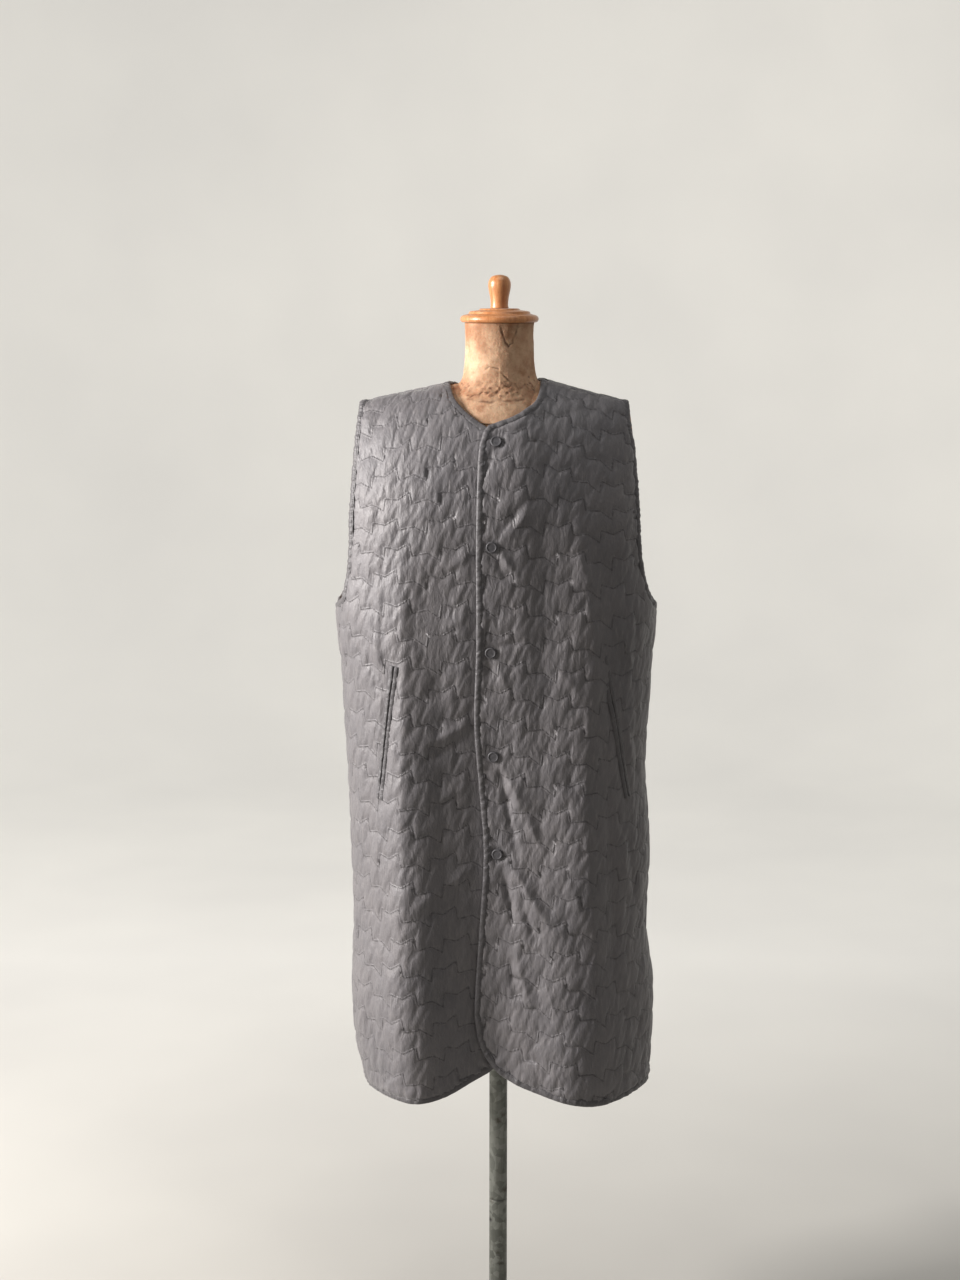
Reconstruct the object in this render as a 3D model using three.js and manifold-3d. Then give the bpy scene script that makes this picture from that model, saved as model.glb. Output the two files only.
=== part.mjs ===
// A quilted long vest on a limbless dress form with a pole and a round base.
// Millimetres, +Z up. The front faces -Y and the wearer's left is +X.
// The origin is the middle of the base's underside.
//
// Each cloth panel is drawn as a flat pattern: s runs round the body from the centre line, v runs down from the
// shoulder line, and h is the height off the inner face. It is cut flat and then wrapped round the body.

import * as THREE from "three";
import { mergeVertices } from "three/addons/utils/BufferGeometryUtils.js";
import Module from "manifold-3d";

const wasm = await Module();
wasm.setup();

// Body of the vest
const RIDGE_Z = 1400;
const ROUNDING_Z = 1200;
const BACK_HEM_Z = 424;
const CORNER_POWER = 2.6;
const SEAM_GAP = 0.3;

// Plan sections, from the shoulder down: half widths to the wearer's right and left, depths to the
// front and back, and how deep the two large folds of the fronts and of the back are
const VEST = [
  { z: 1400, right: 188, left: 176, front: 112, back: 106, fold: 0, backFold: 0 },
  { z: 1340, right: 201, left: 186, front: 113, back: 108, fold: 0, backFold: 0 },
  { z: 1250, right: 211, left: 196, front: 116, back: 110, fold: 0, backFold: 0 },
  { z: 1150, right: 214, left: 203, front: 119, back: 108, fold: 1, backFold: 0 },
  { z: 1096, right: 218, left: 211, front: 120, back: 106, fold: 3, backFold: 1 },
  { z: 1000, right: 211, left: 204, front: 119, back: 105, fold: 7, backFold: 2 },
  { z: 880, right: 206, left: 199, front: 118, back: 107, fold: 11, backFold: 4 },
  { z: 760, right: 201, left: 206, front: 119, back: 112, fold: 15, backFold: 6 },
  { z: 655, right: 199, left: 203, front: 120, back: 117, fold: 18, backFold: 8 },
  { z: 560, right: 203, left: 214, front: 121, back: 121, fold: 20, backFold: 10 },
  { z: 490, right: 197, left: 213, front: 122, back: 122, fold: 22, backFold: 11 },
  { z: 400, right: 178, left: 206, front: 120, back: 121, fold: 23, backFold: 12 },
];
// The fronts fall back in a valley beside the centre line, between a ridge on each side
const FRONT_FOLDS = { valley: -20, right: 106, left: 138 };
const BACK_FOLDS = { valley: 10, right: 120, left: 110 };

// The shoulder line falls away past the neck
const SHOULDERS = {
  right: { start: 58, low: 4, slope: 0.21 },
  left: { start: 52, low: 0, slope: 0.26 },
};
const SHOULDER_FADE = { from: 1150, to: 1330 };

// Edges in the front view, x and z
const NECK_RIGHT = [
  { x: -67, z: 1396 },
  { x: -61, z: 1380 },
  { x: -49, z: 1365 },
  { x: -33, z: 1352 },
  { x: -16, z: 1341 },
  { x: 0, z: 1335 },
  { x: 12, z: 1332 },
];
const NECK_LEFT = [
  { x: 55, z: 1400 },
  { x: 53, z: 1388 },
  { x: 47, z: 1373 },
  { x: 33, z: 1361 },
  { x: 17, z: 1352 },
  { x: -1, z: 1346 },
  { x: -15, z: 1341 },
];
const EDGE_RIGHT = [
  { x: 12, z: 1332 },
  { x: 13, z: 1200 },
  { x: 12, z: 950 },
  { x: 13, z: 700 },
  { x: 12, z: 560 },
  { x: 6, z: 505 },
  { x: -4, z: 474 },
  { x: -26, z: 456 },
  { x: -67, z: 437 },
  { x: -108, z: 430 },
  { x: -150, z: 428 },
];
const EDGE_LEFT = [
  { x: -15, z: 1341 },
  { x: -22, z: 1330 },
  { x: -28, z: 1300 },
  { x: -31, z: 1200 },
  { x: -31, z: 1060 },
  { x: -34, z: 955 },
  { x: -27, z: 860 },
  { x: -21, z: 775 },
  { x: -27, z: 670 },
  { x: -34, z: 570 },
  { x: -33, z: 535 },
  { x: -25, z: 500 },
  { x: -3, z: 468 },
  { x: 28, z: 451 },
  { x: 83, z: 434 },
  { x: 137, z: 425 },
];
const HEM_SIDE_Z = 425;
const BACK_NECK = { right: 66, left: 56, depth: 70, power: 0.8 };
// Outermost line of the armholes in the front view, from the shoulder tip to the underarm
const ARMHOLE = [
  { z: 1371, right: 184, left: 172 },
  { z: 1340, right: 189, left: 174 },
  { z: 1300, right: 193, left: 180 },
  { z: 1245, right: 197, left: 184 },
  { z: 1180, right: 199, left: 187 },
  { z: 1140, right: 203, left: 193 },
  { z: 1112, right: 210, left: 203 },
];
const UNDERARM_Z = 1097;

// Quilting: one stitched zigzag a row, the same on every panel
const ROW_PITCH = 38;
const REPEAT = 76;
const ROW_SHIFT = 17.5;
const MOTIF = [
  { s: 0, v: 0 },
  { s: 16, v: -10 },
  { s: 19, v: 8 },
  { s: 56, v: 15 },
  { s: 58, v: -4 },
];
const PUFF_TOPS = [18, 35.5, 57, 74.5];
const STITCHED_THICK = 1.8;
const PUFF = 3.6;
const ROW_TILT = { front_left: 0.07, front_right: 0, back: 0 };

// Lap of the two fronts
const LAP_LIFT = 4.6;
const LAP_FLAT = { from: 26, to: 62 };
const LAP_PRESSED = { from: -72, to: -46, share: 0.3 };

// Bound edges: a section of tape, in from the edge and up from the inner face
const TAPE_WIDE = 9.6;
const EDGE_GAP = 0.6;
const TAPE = [
  { in: 0.9, up: -0.5 },
  { in: 9.6, up: -0.5 },
  { in: 9.6, up: 3.7 },
  { in: 8.2, up: 4.5 },
  { in: 1.3, up: 4.3 },
  { in: -0.3, up: 1.8 },
];
const TAPE_STEP = 27;
const NECK_STEP = 12;
const ARMHOLE_STEP = 19;
const ARMHOLE_GROWTH = 1.4;
const BACK_NECK_STEPS = 14;
const BACK_HEM_STEPS = 26;
const SEAM_STEP = 30;
const SEAM_ENDS = { armhole: 30, hem: 6 };
const HIDDEN_TAPE = 0.72;
const HIDDEN_TOP = STITCHED_THICK + PUFF * LAP_PRESSED.share;

// Pocket welts: two lips beside a slit, from top to bottom
const WELT_WIDE = 13;
const POCKETS = {
  right: { top: { x: -137, z: 1030 }, bottom: { x: -160, z: 846 } },
  left: { top: { x: 136, z: 1042 }, bottom: { x: 172, z: 846 } },
};
const WELT = [
  { in: 0, up: 0.2 },
  { in: 13, up: 0.2 },
  { in: 13, up: 4.4 },
  { in: 11.8, up: 5.4 },
  { in: 8, up: 5.2 },
  { in: 7.3, up: 2 },
  { in: 5.7, up: 2 },
  { in: 5, up: 5.2 },
  { in: 1.2, up: 5.4 },
  { in: 0, up: 4.4 },
];
const WELT_STEPS = 7;

// Snaps on the upper front, at the middle of the lap
const SNAPS = [
  { x: -5, z: 1321 },
  { x: -11, z: 1189 },
  { x: -12, z: 1050 },
  { x: -8, z: 909 },
  { x: -2, z: 775 },
];
const SNAP = {
  radius: 7.3,
  post: 3.4,
  hole: 4.2,
  holeSides: 10,
  sides: 12,
  foot: 0.3,
  seat: 3.0,
  shoulder: 4.7,
  top: 5.8,
  rim: 6.3,
  dish: 4.9,
  dishTop: 5.3,
};
const SNAP_FLAT = { from: 18, to: 38 };

// Dress form and stand
const TORSO_RIDGE_Z = 1399;
const TORSO = [
  { z: 1400, right: 186, left: 174, front: 110, back: 102.5, fold: 0, backFold: 0 },
  { z: 1340, right: 195, left: 182, front: 110, back: 103.5, fold: 0, backFold: 0 },
  { z: 1250, right: 194, left: 188, front: 110, back: 104, fold: 0, backFold: 0 },
  { z: 1150, right: 184, left: 184, front: 106, back: 98, fold: 0, backFold: 0 },
  { z: 1040, right: 160, left: 160, front: 92, back: 86, fold: 0, backFold: 0 },
  { z: 960, right: 150, left: 150, front: 86, back: 82, fold: 0, backFold: 0 },
  { z: 860, right: 164, left: 164, front: 90, back: 92, fold: 0, backFold: 0 },
  { z: 740, right: 170, left: 170, front: 92, back: 98, fold: 0, backFold: 0 },
];
const TORSO_LEVELS = [740, 780, 860, 920, 1000, 1080, 1150];
const TORSO_STEPS = 12;
const TORSO_TOP_TURNS = [75, 60, 46, 34, 24, 15, 8, 3];
const ARM_PLATES = { right: 182, left: 179 };
const NECK = [
  { r: 76, z: 1346 },
  { r: 67, z: 1364 },
  { r: 60, z: 1378 },
  { r: 53, z: 1392 },
  { r: 48.5, z: 1408 },
  { r: 45.6, z: 1434 },
  { r: 46.6, z: 1476 },
];
const CAP_SEAT_Z = 1476.3;
const CAP = [
  { r: 49.5, z: 0 },
  { r: 52.4, z: 4 },
  { r: 50.5, z: 9 },
  { r: 41, z: 11.6 },
  { r: 39.6, z: 14.6 },
  { r: 27, z: 16.4 },
  { r: 25.6, z: 18.4 },
];
const KNOB = [
  { r: 12.2, z: 0 },
  { r: 11.6, z: 5 },
  { r: 12.4, z: 14 },
  { r: 14.2, z: 23 },
  { r: 15.1, z: 30 },
  { r: 14.2, z: 36 },
  { r: 10.6, z: 41.2 },
  { r: 5, z: 43.6 },
];
const POLE_RADIUS = 12.7;
const POLE_IN_TORSO = 60;
const POLE_FOOT_Z = 6;
const SOCKET_GAP = 0.3;
const BASE = [
  { r: 150, z: 0 },
  { r: 154, z: 3 },
  { r: 154, z: 8 },
  { r: 150, z: 11 },
  { r: 60, z: 15 },
  { r: 30, z: 20 },
  { r: 22, z: 28 },
  { r: 21, z: 55 },
];
const BASE_TOP = BASE[BASE.length - 1].z;
const SOCKET_PAST = 5;
const ROUND_SIDES = 24;
const KNOB_SIDES = 20;
const BASE_SIDES = 32;

const MATERIALS = {
  cloth: { color: 0x6f6c6b, roughness: 0.62, metalness: 0 },
  tape: { color: 0x66625f, roughness: 0.6, metalness: 0 },
  snap: { color: 0x3f4043, roughness: 0.4, metalness: 0.6 },
  form: { color: 0xcdb593, roughness: 0.85, metalness: 0 },
  wood: { color: 0xc98f5a, roughness: 0.45, metalness: 0 },
  steel: { color: 0x8a8c88, roughness: 0.45, metalness: 0.9 },
  iron: { color: 0x2e2e2d, roughness: 0.6, metalness: 0.5 },
};

const mix = (a, b, t) => a + (b - a) * t;
const sign = (side) => (side === "right" ? -1 : 1);
const smooth = (from, to, value) => {
  const t = Math.min(1, Math.max(0, (value - from) / (to - from)));
  return t * t * (3 - 2 * t);
};

// Value of a column of a table at a level, along a smooth curve through its rows
function columnAt(table, name, z) {
  const rows = table[0].z > table[table.length - 1].z ? table : [...table].reverse();
  const last = rows.length - 1;
  let i = 0;
  while (i < last - 1 && z < rows[i + 1].z) i++;
  const t = Math.min(1, Math.max(0, (rows[i].z - z) / (rows[i].z - rows[i + 1].z)));
  const [a, b] = [rows[i], rows[i + 1]];
  const slope = (p, q) => (q[name] - p[name]) / (q.z - p.z);
  const span = b.z - a.z;
  const startSlope = i > 0 ? (slope(rows[i - 1], a) + slope(a, b)) / 2 : slope(a, b);
  const endSlope = i < last - 1 ? (slope(a, b) + slope(b, rows[i + 2])) / 2 : slope(a, b);
  const t2 = t * t;
  const t3 = t2 * t;
  return (
    (2 * t3 - 3 * t2 + 1) * a[name] +
    (t3 - 2 * t2 + t) * span * startSlope +
    (3 * t2 - 2 * t3) * b[name] +
    (t3 - t2) * span * endSlope
  );
}

// How far the front or back is closed towards the shoulder line at a level, 0 at the line and 1 below the rounding
const CLOSING = { front: 2, back: 3 };
function closedAt(face, level, ridge) {
  const t = Math.min(1, Math.max(0, (level - ROUNDING_Z) / (ridge - ROUNDING_Z)));
  return (1 - t ** CLOSING[face]) ** (1 / CLOSING[face]);
}

function shoulderDrop(x) {
  const { start, low, slope } = x < 0 ? SHOULDERS.right : SHOULDERS.left;
  const past = Math.max(0, Math.abs(x) - start);
  return low * smooth(0, start, Math.abs(x)) + slope * past;
}

function foldAt(face, row, x) {
  const { valley, right, left } = face === "front" ? FRONT_FOLDS : BACK_FOLDS;
  const deep = face === "front" ? row.fold : row.backFold;
  const half = x < 0 ? row.right : row.left;
  const across = x - valley;
  const wave = Math.cos((Math.PI * across) / (across < 0 ? right : left));
  return deep * wave * (1 - Math.abs(x / half) ** 6);
}

// A point of a body of sections. turn is -90 degrees at the wearer's right side and 90 at the left
function bodyPoint(table, ridge, face, turn, level) {
  const row = {};
  for (const name of ["right", "left", "front", "back", "fold", "backFold"]) {
    row[name] = columnAt(table, name, level);
  }
  const power = 2 / CORNER_POWER;
  const half = turn < 0 ? row.right : row.left;
  const x = half * Math.sign(turn) * Math.abs(Math.sin(turn)) ** power;
  const closed = closedAt(face, level, ridge);
  const deep = row[face] * closed * Math.abs(Math.cos(turn)) ** power;
  const out = Math.max(0, deep - foldAt(face, row, x) * closed);
  const z = level - shoulderDrop(x) * smooth(SHOULDER_FADE.from, SHOULDER_FADE.to, level);
  return new THREE.Vector3(x, face === "front" ? -out : out, z);
}

// Levels down the front or back against the distance from the shoulder line
const MERIDIAN_STEPS = 900;
function meridian(face) {
  const line = [{ v: 0, level: RIDGE_Z }];
  let deep = 0;
  for (let i = 1; i <= MERIDIAN_STEPS; i++) {
    const angle = (Math.PI / 2) * (i / MERIDIAN_STEPS);
    const power = 2 / CLOSING[face];
    const level = ROUNDING_Z + (RIDGE_Z - ROUNDING_Z) * Math.cos(angle) ** power;
    const nowDeep = columnAt(VEST, face, level) * Math.sin(angle) ** power;
    const before = line[line.length - 1];
    line.push({ v: before.v + Math.hypot(nowDeep - deep, level - before.level), level });
    deep = nowDeep;
  }
  const end = line[line.length - 1];
  line.push({ v: end.v + end.level, level: 0 });
  return line;
}
const MERIDIANS = { front: meridian("front"), back: meridian("back") };

function lookUp(line, from, to, value) {
  const rising = line[line.length - 1][from] > line[0][from];
  let low = 0;
  let high = line.length - 1;
  while (high - low > 1) {
    const middle = (low + high) >> 1;
    if (line[middle][from] < value === rising) low = middle;
    else high = middle;
  }
  const [a, b] = [line[low], line[high]];
  return mix(a[to], b[to], (value - a[from]) / (b[from] - a[from] || 1));
}
const levelAt = (face, v) => lookUp(MERIDIANS[face], "v", "level", v);
const downTo = (face, level) => lookUp(MERIDIANS[face], "level", "v", level);

// Arc length round a section from the centre line, kept for each level that is asked for
const RING_STEPS = 120;
const rings = new Map();
function ringAt(face, level) {
  const key = face + level;
  if (!rings.has(key)) {
    const line = [];
    for (let i = 0; i <= RING_STEPS; i++) {
      const turn = Math.PI * (i / RING_STEPS - 0.5);
      line.push({ turn, ...bodyPoint(VEST, RIDGE_Z, face, turn, level) });
    }
    let s = 0;
    for (let i = 0; i <= RING_STEPS; i++) {
      if (i) s += Math.hypot(line[i].x - line[i - 1].x, line[i].y - line[i - 1].y);
      line[i].s = s;
    }
    const centre = line[RING_STEPS / 2].s;
    for (const point of line) point.s -= centre;
    rings.set(key, line);
  }
  return rings.get(key);
}
const seamAt = (face, side, v) => {
  const ring = ringAt(face, levelAt(face, v));
  return ring[side === "right" ? 0 : RING_STEPS].s;
};

// The inner face of a wall at a place of the pattern
function innerPoint(face, s, v) {
  const level = levelAt(face, Math.max(0, v));
  const ring = ringAt(face, level);
  const inside = Math.min(ring[RING_STEPS].s, Math.max(ring[0].s, s));
  const point = new THREE.Vector3();
  for (const axis of ["x", "y", "z"]) point[axis] = lookUp(ring, "s", axis, inside);
  return point;
}

// Wraps a point of the pattern round the body. The upper front is lifted over the lower one at the lap
const PROBE = 1.5;
function wrap(face, s, v, h) {
  const seams = [seamAt(face, "right", v), seamAt(face, "left", v)];
  const [s0, s1] = [Math.max(seams[0], s - PROBE), Math.min(seams[1], s + PROBE)];
  const [v0, v1] = [Math.max(0, v - PROBE), v + PROBE];
  const round = innerPoint(face, s1, v).sub(innerPoint(face, s0, v));
  const down = innerPoint(face, s, v1).sub(innerPoint(face, s, v0));
  const out = down.cross(round).normalize();
  if (face === "back") out.negate();
  const gap = (face === "front" ? -1 : 1) * (SEAM_GAP / 2);
  return innerPoint(face, s, v).addScaledVector(out, h).add(new THREE.Vector3(0, gap, 0));
}
const lapLift = (s) => LAP_LIFT * (1 - smooth(LAP_FLAT.from, LAP_FLAT.to, s));

// Place in the pattern of a point that the front view shows at x and z
const LEVEL_TRIES = 12;
const JUST_BELOW_RIDGE = RIDGE_Z - 0.01;
function patternPoint({ x, z }) {
  let level = z;
  for (let i = 0; i < LEVEL_TRIES; i++) {
    level = z + shoulderDrop(x) * smooth(SHOULDER_FADE.from, SHOULDER_FADE.to, level);
  }
  level = Math.min(level, JUST_BELOW_RIDGE);
  return new THREE.Vector2(lookUp(ringAt("front", level), "x", "s", x), downTo("front", level));
}

// A smooth line through points, in even steps or in steps that start fine
function smoothLine(points, step = TAPE_STEP, growth = 1) {
  const curve = new THREE.SplineCurve(points);
  const count = Math.max(2, Math.round(curve.getLength() / step));
  const line = [];
  for (let i = 0; i <= count; i++) line.push(curve.getPointAt((i / count) ** growth));
  return line;
}

// Places along an edge, each with the way across it, to the left as the edge runs or to the right.
// The directions at the two ends are given, so that edges of two panels meet squarely
function placesOn(line, startAlong, endAlong, way) {
  const turned = (along) => new THREE.Vector2(-along.y, along.x).multiplyScalar(way);
  const piece = (i) => turned(line[i + 1].clone().sub(line[i]).normalize());
  return line.map((at, i) => {
    if (i === 0) return { at, across: turned(startAlong) };
    if (i === line.length - 1) return { at, across: turned(endAlong) };
    const [before, after] = [piece(i - 1), piece(i)];
    return { at, across: before.clone().add(after).divideScalar(1 + before.dot(after)) };
  });
}
const DOWN = new THREE.Vector2(0, 1);
const UP = new THREE.Vector2(0, -1);
const toSide = (side) => new THREE.Vector2(sign(side), 0);
const besidePlaces = (places, distance) =>
  places.map(({ at, across }) => at.clone().addScaledVector(across, distance));

// A closed body from rings of the same number of points
function loft(loops, closed = false) {
  const count = loops[0].length;
  const faces = [];
  const laps = closed ? loops.length : loops.length - 1;
  for (let i = 0; i < laps; i++) {
    const [a, b] = [i * count, ((i + 1) % loops.length) * count];
    for (let j = 0; j < count; j++) {
      const k = (j + 1) % count;
      faces.push(a + j, b + j, b + k, a + j, b + k, a + k);
    }
  }
  if (!closed) {
    const end = (loops.length - 1) * count;
    for (const [i, j, k] of capFaces(loops[0])) faces.push(i, j, k);
    for (const [i, j, k] of capFaces(loops[loops.length - 1])) faces.push(end + i, end + k, end + j);
  }
  return solidFrom(loops.flat(), faces);
}

// Triangles of a flat end, in the plane that the loop lies nearest to
function capFaces(loop) {
  const normal = new THREE.Vector3();
  loop.forEach((p, i) => normal.add(p.clone().cross(loop[(i + 1) % loop.length])));
  normal.normalize();
  const side = new THREE.Vector3(0, 0, 1).cross(normal);
  if (side.length() < 0.1) side.set(1, 0, 0);
  side.normalize();
  const up = normal.clone().cross(side);
  const flat = loop.map((p) => new THREE.Vector2(p.dot(side), p.dot(up)));
  return THREE.ShapeUtils.triangulateShape(flat, []);
}

// A solid from points and faces, turned so that its faces point out
function solidFrom(points, faces) {
  const make = (indices) =>
    new wasm.Manifold(
      new wasm.Mesh({
        numProp: 3,
        vertProperties: new Float32Array(points.flatMap((p) => [p.x, p.y, p.z])),
        triVerts: new Uint32Array(indices),
      }),
    );
  const made = make(faces);
  if (made.volume() > 0) return made;
  const turned = [];
  for (let i = 0; i < faces.length; i += 3) turned.push(faces[i], faces[i + 2], faces[i + 1]);
  return make(turned);
}

function solidOf(geometry) {
  const bare = geometry.clone();
  bare.deleteAttribute("normal");
  bare.deleteAttribute("uv");
  const merged = mergeVertices(bare, 1e-4);
  const place = merged.getAttribute("position");
  const points = [];
  for (let i = 0; i < place.count; i++) points.push(new THREE.Vector3().fromBufferAttribute(place, i));
  return solidFrom(points, [...merged.index.array]);
}

// An upright block over a flat outline of the pattern
const BLOCK = { low: -6, high: 40 };
function block(outline) {
  const shape = new THREE.Shape(outline);
  const geometry = new THREE.ExtrudeGeometry(shape, {
    depth: BLOCK.high - BLOCK.low,
    bevelEnabled: false,
  });
  geometry.translate(0, 0, BLOCK.low);
  return solidOf(geometry);
}

// Faces between two lines of points that both run the same way
function zip(points, a, b, key, faces) {
  let [i, j] = [0, 0];
  while (i < a.length - 1 || j < b.length - 1) {
    const nextA = i < a.length - 1 ? points[a[i + 1]][key] : Infinity;
    const nextB = j < b.length - 1 ? points[b[j + 1]][key] : Infinity;
    if (nextA <= nextB) {
      faces.push(a[i], a[i + 1], b[j]);
      i++;
    } else {
      faces.push(a[i], b[j + 1], b[j]);
      j++;
    }
  }
}

// How far down a stitched row lies at a place round the body
function stitchAt(row, s, tilt) {
  const shift = row % 2 === 0 ? 0 : ROW_SHIFT;
  const along = (((s - shift) % REPEAT) + REPEAT) % REPEAT;
  const motif = [...MOTIF, { s: REPEAT, v: MOTIF[0].v }];
  let i = 0;
  while (along > motif[i + 1].s) i++;
  const zigzag = mix(motif[i].v, motif[i + 1].v, (along - motif[i].s) / (motif[i + 1].s - motif[i].s));
  return row * ROW_PITCH + zigzag + tilt * s;
}

// Places of a repeating pattern between two ends
const SIDE_CLEAR = 0.5;
function repeated(places, shift, from, to) {
  const found = [];
  for (let k = Math.floor((from - shift) / REPEAT) - 1; k * REPEAT + shift < to + REPEAT; k++) {
    for (const place of places) found.push(k * REPEAT + shift + place);
  }
  return found.filter((s) => s > from + SIDE_CLEAR && s < to - SIDE_CLEAR).sort((a, b) => a - b);
}

// The slab is dished very slightly, which keeps a cut from joining its plain faces into one
const SLAB_TOP = -80;
const SLAB_PAST = { side: 3, bottom: 8 };
const BEND = 2e-5;
const bend = (s, v) => BEND * (s * s + v * v);

// A flat slab over a rectangle of the pattern: quilted above, plain below
const ROW_CLEAR = { top: 16, bottom: 20 };
const PLAIN_COLUMN = 46;
const PLAIN_ROWS = [
  { until: 60, step: 10 },
  { until: 130, step: 17 },
  { until: 220, step: 42 },
  { until: 1300, step: 90 },
];
function quiltedSlab({ from, to, top, bottom, tilt, puffAt }) {
  const points = [];
  const addPoint = (s, v, h) => points.push({ x: s, y: v, z: h + bend(s, v) }) - 1;
  const addLine = (places, downAt, heightAt) =>
    [from, ...places, to].map((s) => addPoint(s, downAt(s), heightAt(s)));
  const faces = [];
  const columns = Math.max(2, Math.round((to - from) / PLAIN_COLUMN));
  const places = [];
  for (let i = 1; i < columns; i++) places.push(mix(from, to, i / columns));
  const above = [addLine(places, () => top, () => STITCHED_THICK)];
  const leastTilt = Math.min(tilt * from, tilt * to);
  const mostTilt = Math.max(tilt * from, tilt * to);
  const firstRow = Math.ceil((top + ROW_CLEAR.top - leastTilt) / ROW_PITCH);
  const lastRow = Math.floor((bottom - ROW_CLEAR.bottom - mostTilt) / ROW_PITCH);
  for (let row = firstRow; row <= lastRow; row++) {
    const shift = row % 2 === 0 ? 0 : ROW_SHIFT;
    const stitches = repeated(MOTIF.map((point) => point.s), shift, from, to);
    above.push(addLine(stitches, (s) => stitchAt(row, s, tilt), () => STITCHED_THICK));
    if (row === lastRow) continue;
    const between = (s) => (stitchAt(row, s, tilt) + stitchAt(row + 1, s, tilt)) / 2;
    const tops = repeated(PUFF_TOPS, 0, from, to);
    above.push(addLine(tops, between, (s) => STITCHED_THICK + PUFF * puffAt(s, between(s))));
  }
  above.push(addLine(places, () => bottom, () => STITCHED_THICK));

  const below = [];
  let v = top;
  while (v < bottom) {
    below.push(v);
    v += PLAIN_ROWS.find((row) => v < row.until).step;
  }
  below.push(bottom);
  const plain = below.map((down) => addLine(places, () => down, () => 0));

  above.forEach((line, i) => i && zip(points, line, above[i - 1], "x", faces));
  plain.forEach((line, i) => i && zip(points, plain[i - 1], line, "x", faces));
  const starts = (lines) => lines.map((line) => line[0]);
  const ends = (lines) => lines.map((line) => line[line.length - 1]);
  zip(points, starts(plain), starts(above), "y", faces);
  zip(points, ends(above), ends(plain), "y", faces);
  zip(points, above[0], plain[0], "x", faces);
  zip(points, plain[plain.length - 1], above[above.length - 1], "x", faces);
  return solidFrom(points, faces);
}

// Wraps a flat solid of the pattern round the body
function wrapSolid(flat, face, liftAt) {
  const { vertProperties, triVerts, numProp } = flat.getMesh();
  const points = [];
  for (let i = 0; i < vertProperties.length; i += numProp) {
    const [s, v, h] = vertProperties.subarray(i, i + 3);
    points.push(wrap(face, s, v, h - bend(s, v) + liftAt(s)));
  }
  return solidFrom(points, [...triVerts]);
}

// A side seam of the pattern between two distances down
function seamLine(face, side, fromV, toV) {
  const count = Math.round((toV - fromV) / SEAM_STEP);
  const line = [];
  for (let i = 0; i <= count; i++) {
    const v = mix(fromV, toV, i / count);
    line.push(new THREE.Vector2(seamAt(face, side, v), v));
  }
  return line;
}

// The armhole's edge in the pattern, from the shoulder line down to the side seam
function armholeLine(face, side) {
  const line = ARMHOLE.map((row) => {
    const x = sign(side) * row[side];
    const drop = shoulderDrop(x) * smooth(SHOULDER_FADE.from, SHOULDER_FADE.to, row.z);
    const level = Math.min(JUST_BELOW_RIDGE, row.z + drop);
    const ring = ringAt(face, level);
    return new THREE.Vector2(lookUp(ring, "x", "s", x), downTo(face, level));
  });
  const tip = sign(side) * ARMHOLE[0][side];
  line[0] = new THREE.Vector2(lookUp(ringAt(face, RIDGE_Z), "x", "s", tip), 0);
  const low = downTo(face, UNDERARM_Z);
  line.push(new THREE.Vector2(seamAt(face, side, low), low));
  return smoothLine(line, ARMHOLE_STEP, ARMHOLE_GROWTH);
}

// The bound edge of a front: neck, front edge, and hem as far as the side seam
function frontEdge(side) {
  const [neck, edge] = side === "right" ? [NECK_RIGHT, EDGE_RIGHT] : [NECK_LEFT, EDGE_LEFT];
  const neckLine = neck.map(patternPoint);
  neckLine[0] = new THREE.Vector2(neckLine[0].x, 0);
  const edgeLine = edge.map(patternPoint);
  const low = downTo("front", HEM_SIDE_Z);
  const seam = seamAt("front", side, low);
  const last = edgeLine[edgeLine.length - 1];
  edgeLine.push(new THREE.Vector2(mix(last.x, seam, 0.5), low), new THREE.Vector2(seam, low));
  return [...smoothLine(neckLine, NECK_STEP), ...smoothLine(edgeLine).slice(1)];
}

function backNeckLine() {
  const line = [];
  for (let i = 0; i <= BACK_NECK_STEPS; i++) {
    const angle = Math.PI * (i / BACK_NECK_STEPS);
    const across = Math.cos(angle) * (angle < Math.PI / 2 ? BACK_NECK.left : BACK_NECK.right);
    line.push(new THREE.Vector2(across, BACK_NECK.depth * Math.sin(angle) ** BACK_NECK.power));
  }
  return line;
}

function backHemLine() {
  const low = downTo("back", BACK_HEM_Z);
  const [from, to] = [seamAt("back", "left", low), seamAt("back", "right", low)];
  const line = [];
  for (let i = 0; i <= BACK_HEM_STEPS; i++) {
    line.push(new THREE.Vector2(mix(from, to, i / BACK_HEM_STEPS), low));
  }
  return line;
}

// Tape swept along an edge of the pattern
function tape(stations, share = 1, closed = false, section = TAPE) {
  const loops = stations.map(({ face, at, across, lift }) =>
    section.map((point) => {
      const place = at.clone().addScaledVector(across, point.in);
      const up = point.up > 0 ? point.up * share : point.up;
      return wrap(face, place.x, place.y, up + lift(place.x));
    }),
  );
  return loft(loops, closed);
}
const NO_LIFT = () => 0;
const stationsOf = (places, face, lift = NO_LIFT) => places.map((place) => ({ ...place, face, lift }));

const meshes = new THREE.Group();
function addMesh(name, solid, material) {
  const { vertProperties, triVerts, numProp } = solid.getMesh();
  const geometry = new THREE.BufferGeometry();
  const count = vertProperties.length / numProp;
  const place = new Float32Array(count * 3);
  for (let i = 0; i < count; i++) {
    place.set(vertProperties.subarray(i * numProp, i * numProp + 3), i * 3);
  }
  geometry.setAttribute("position", new THREE.BufferAttribute(place, 3));
  geometry.setIndex(new THREE.BufferAttribute(new Uint32Array(triVerts), 1));
  geometry.computeVertexNormals();
  const mesh = new THREE.Mesh(geometry, new THREE.MeshStandardMaterial(MATERIALS[material]));
  mesh.name = name;
  meshes.add(mesh);
}

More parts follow.
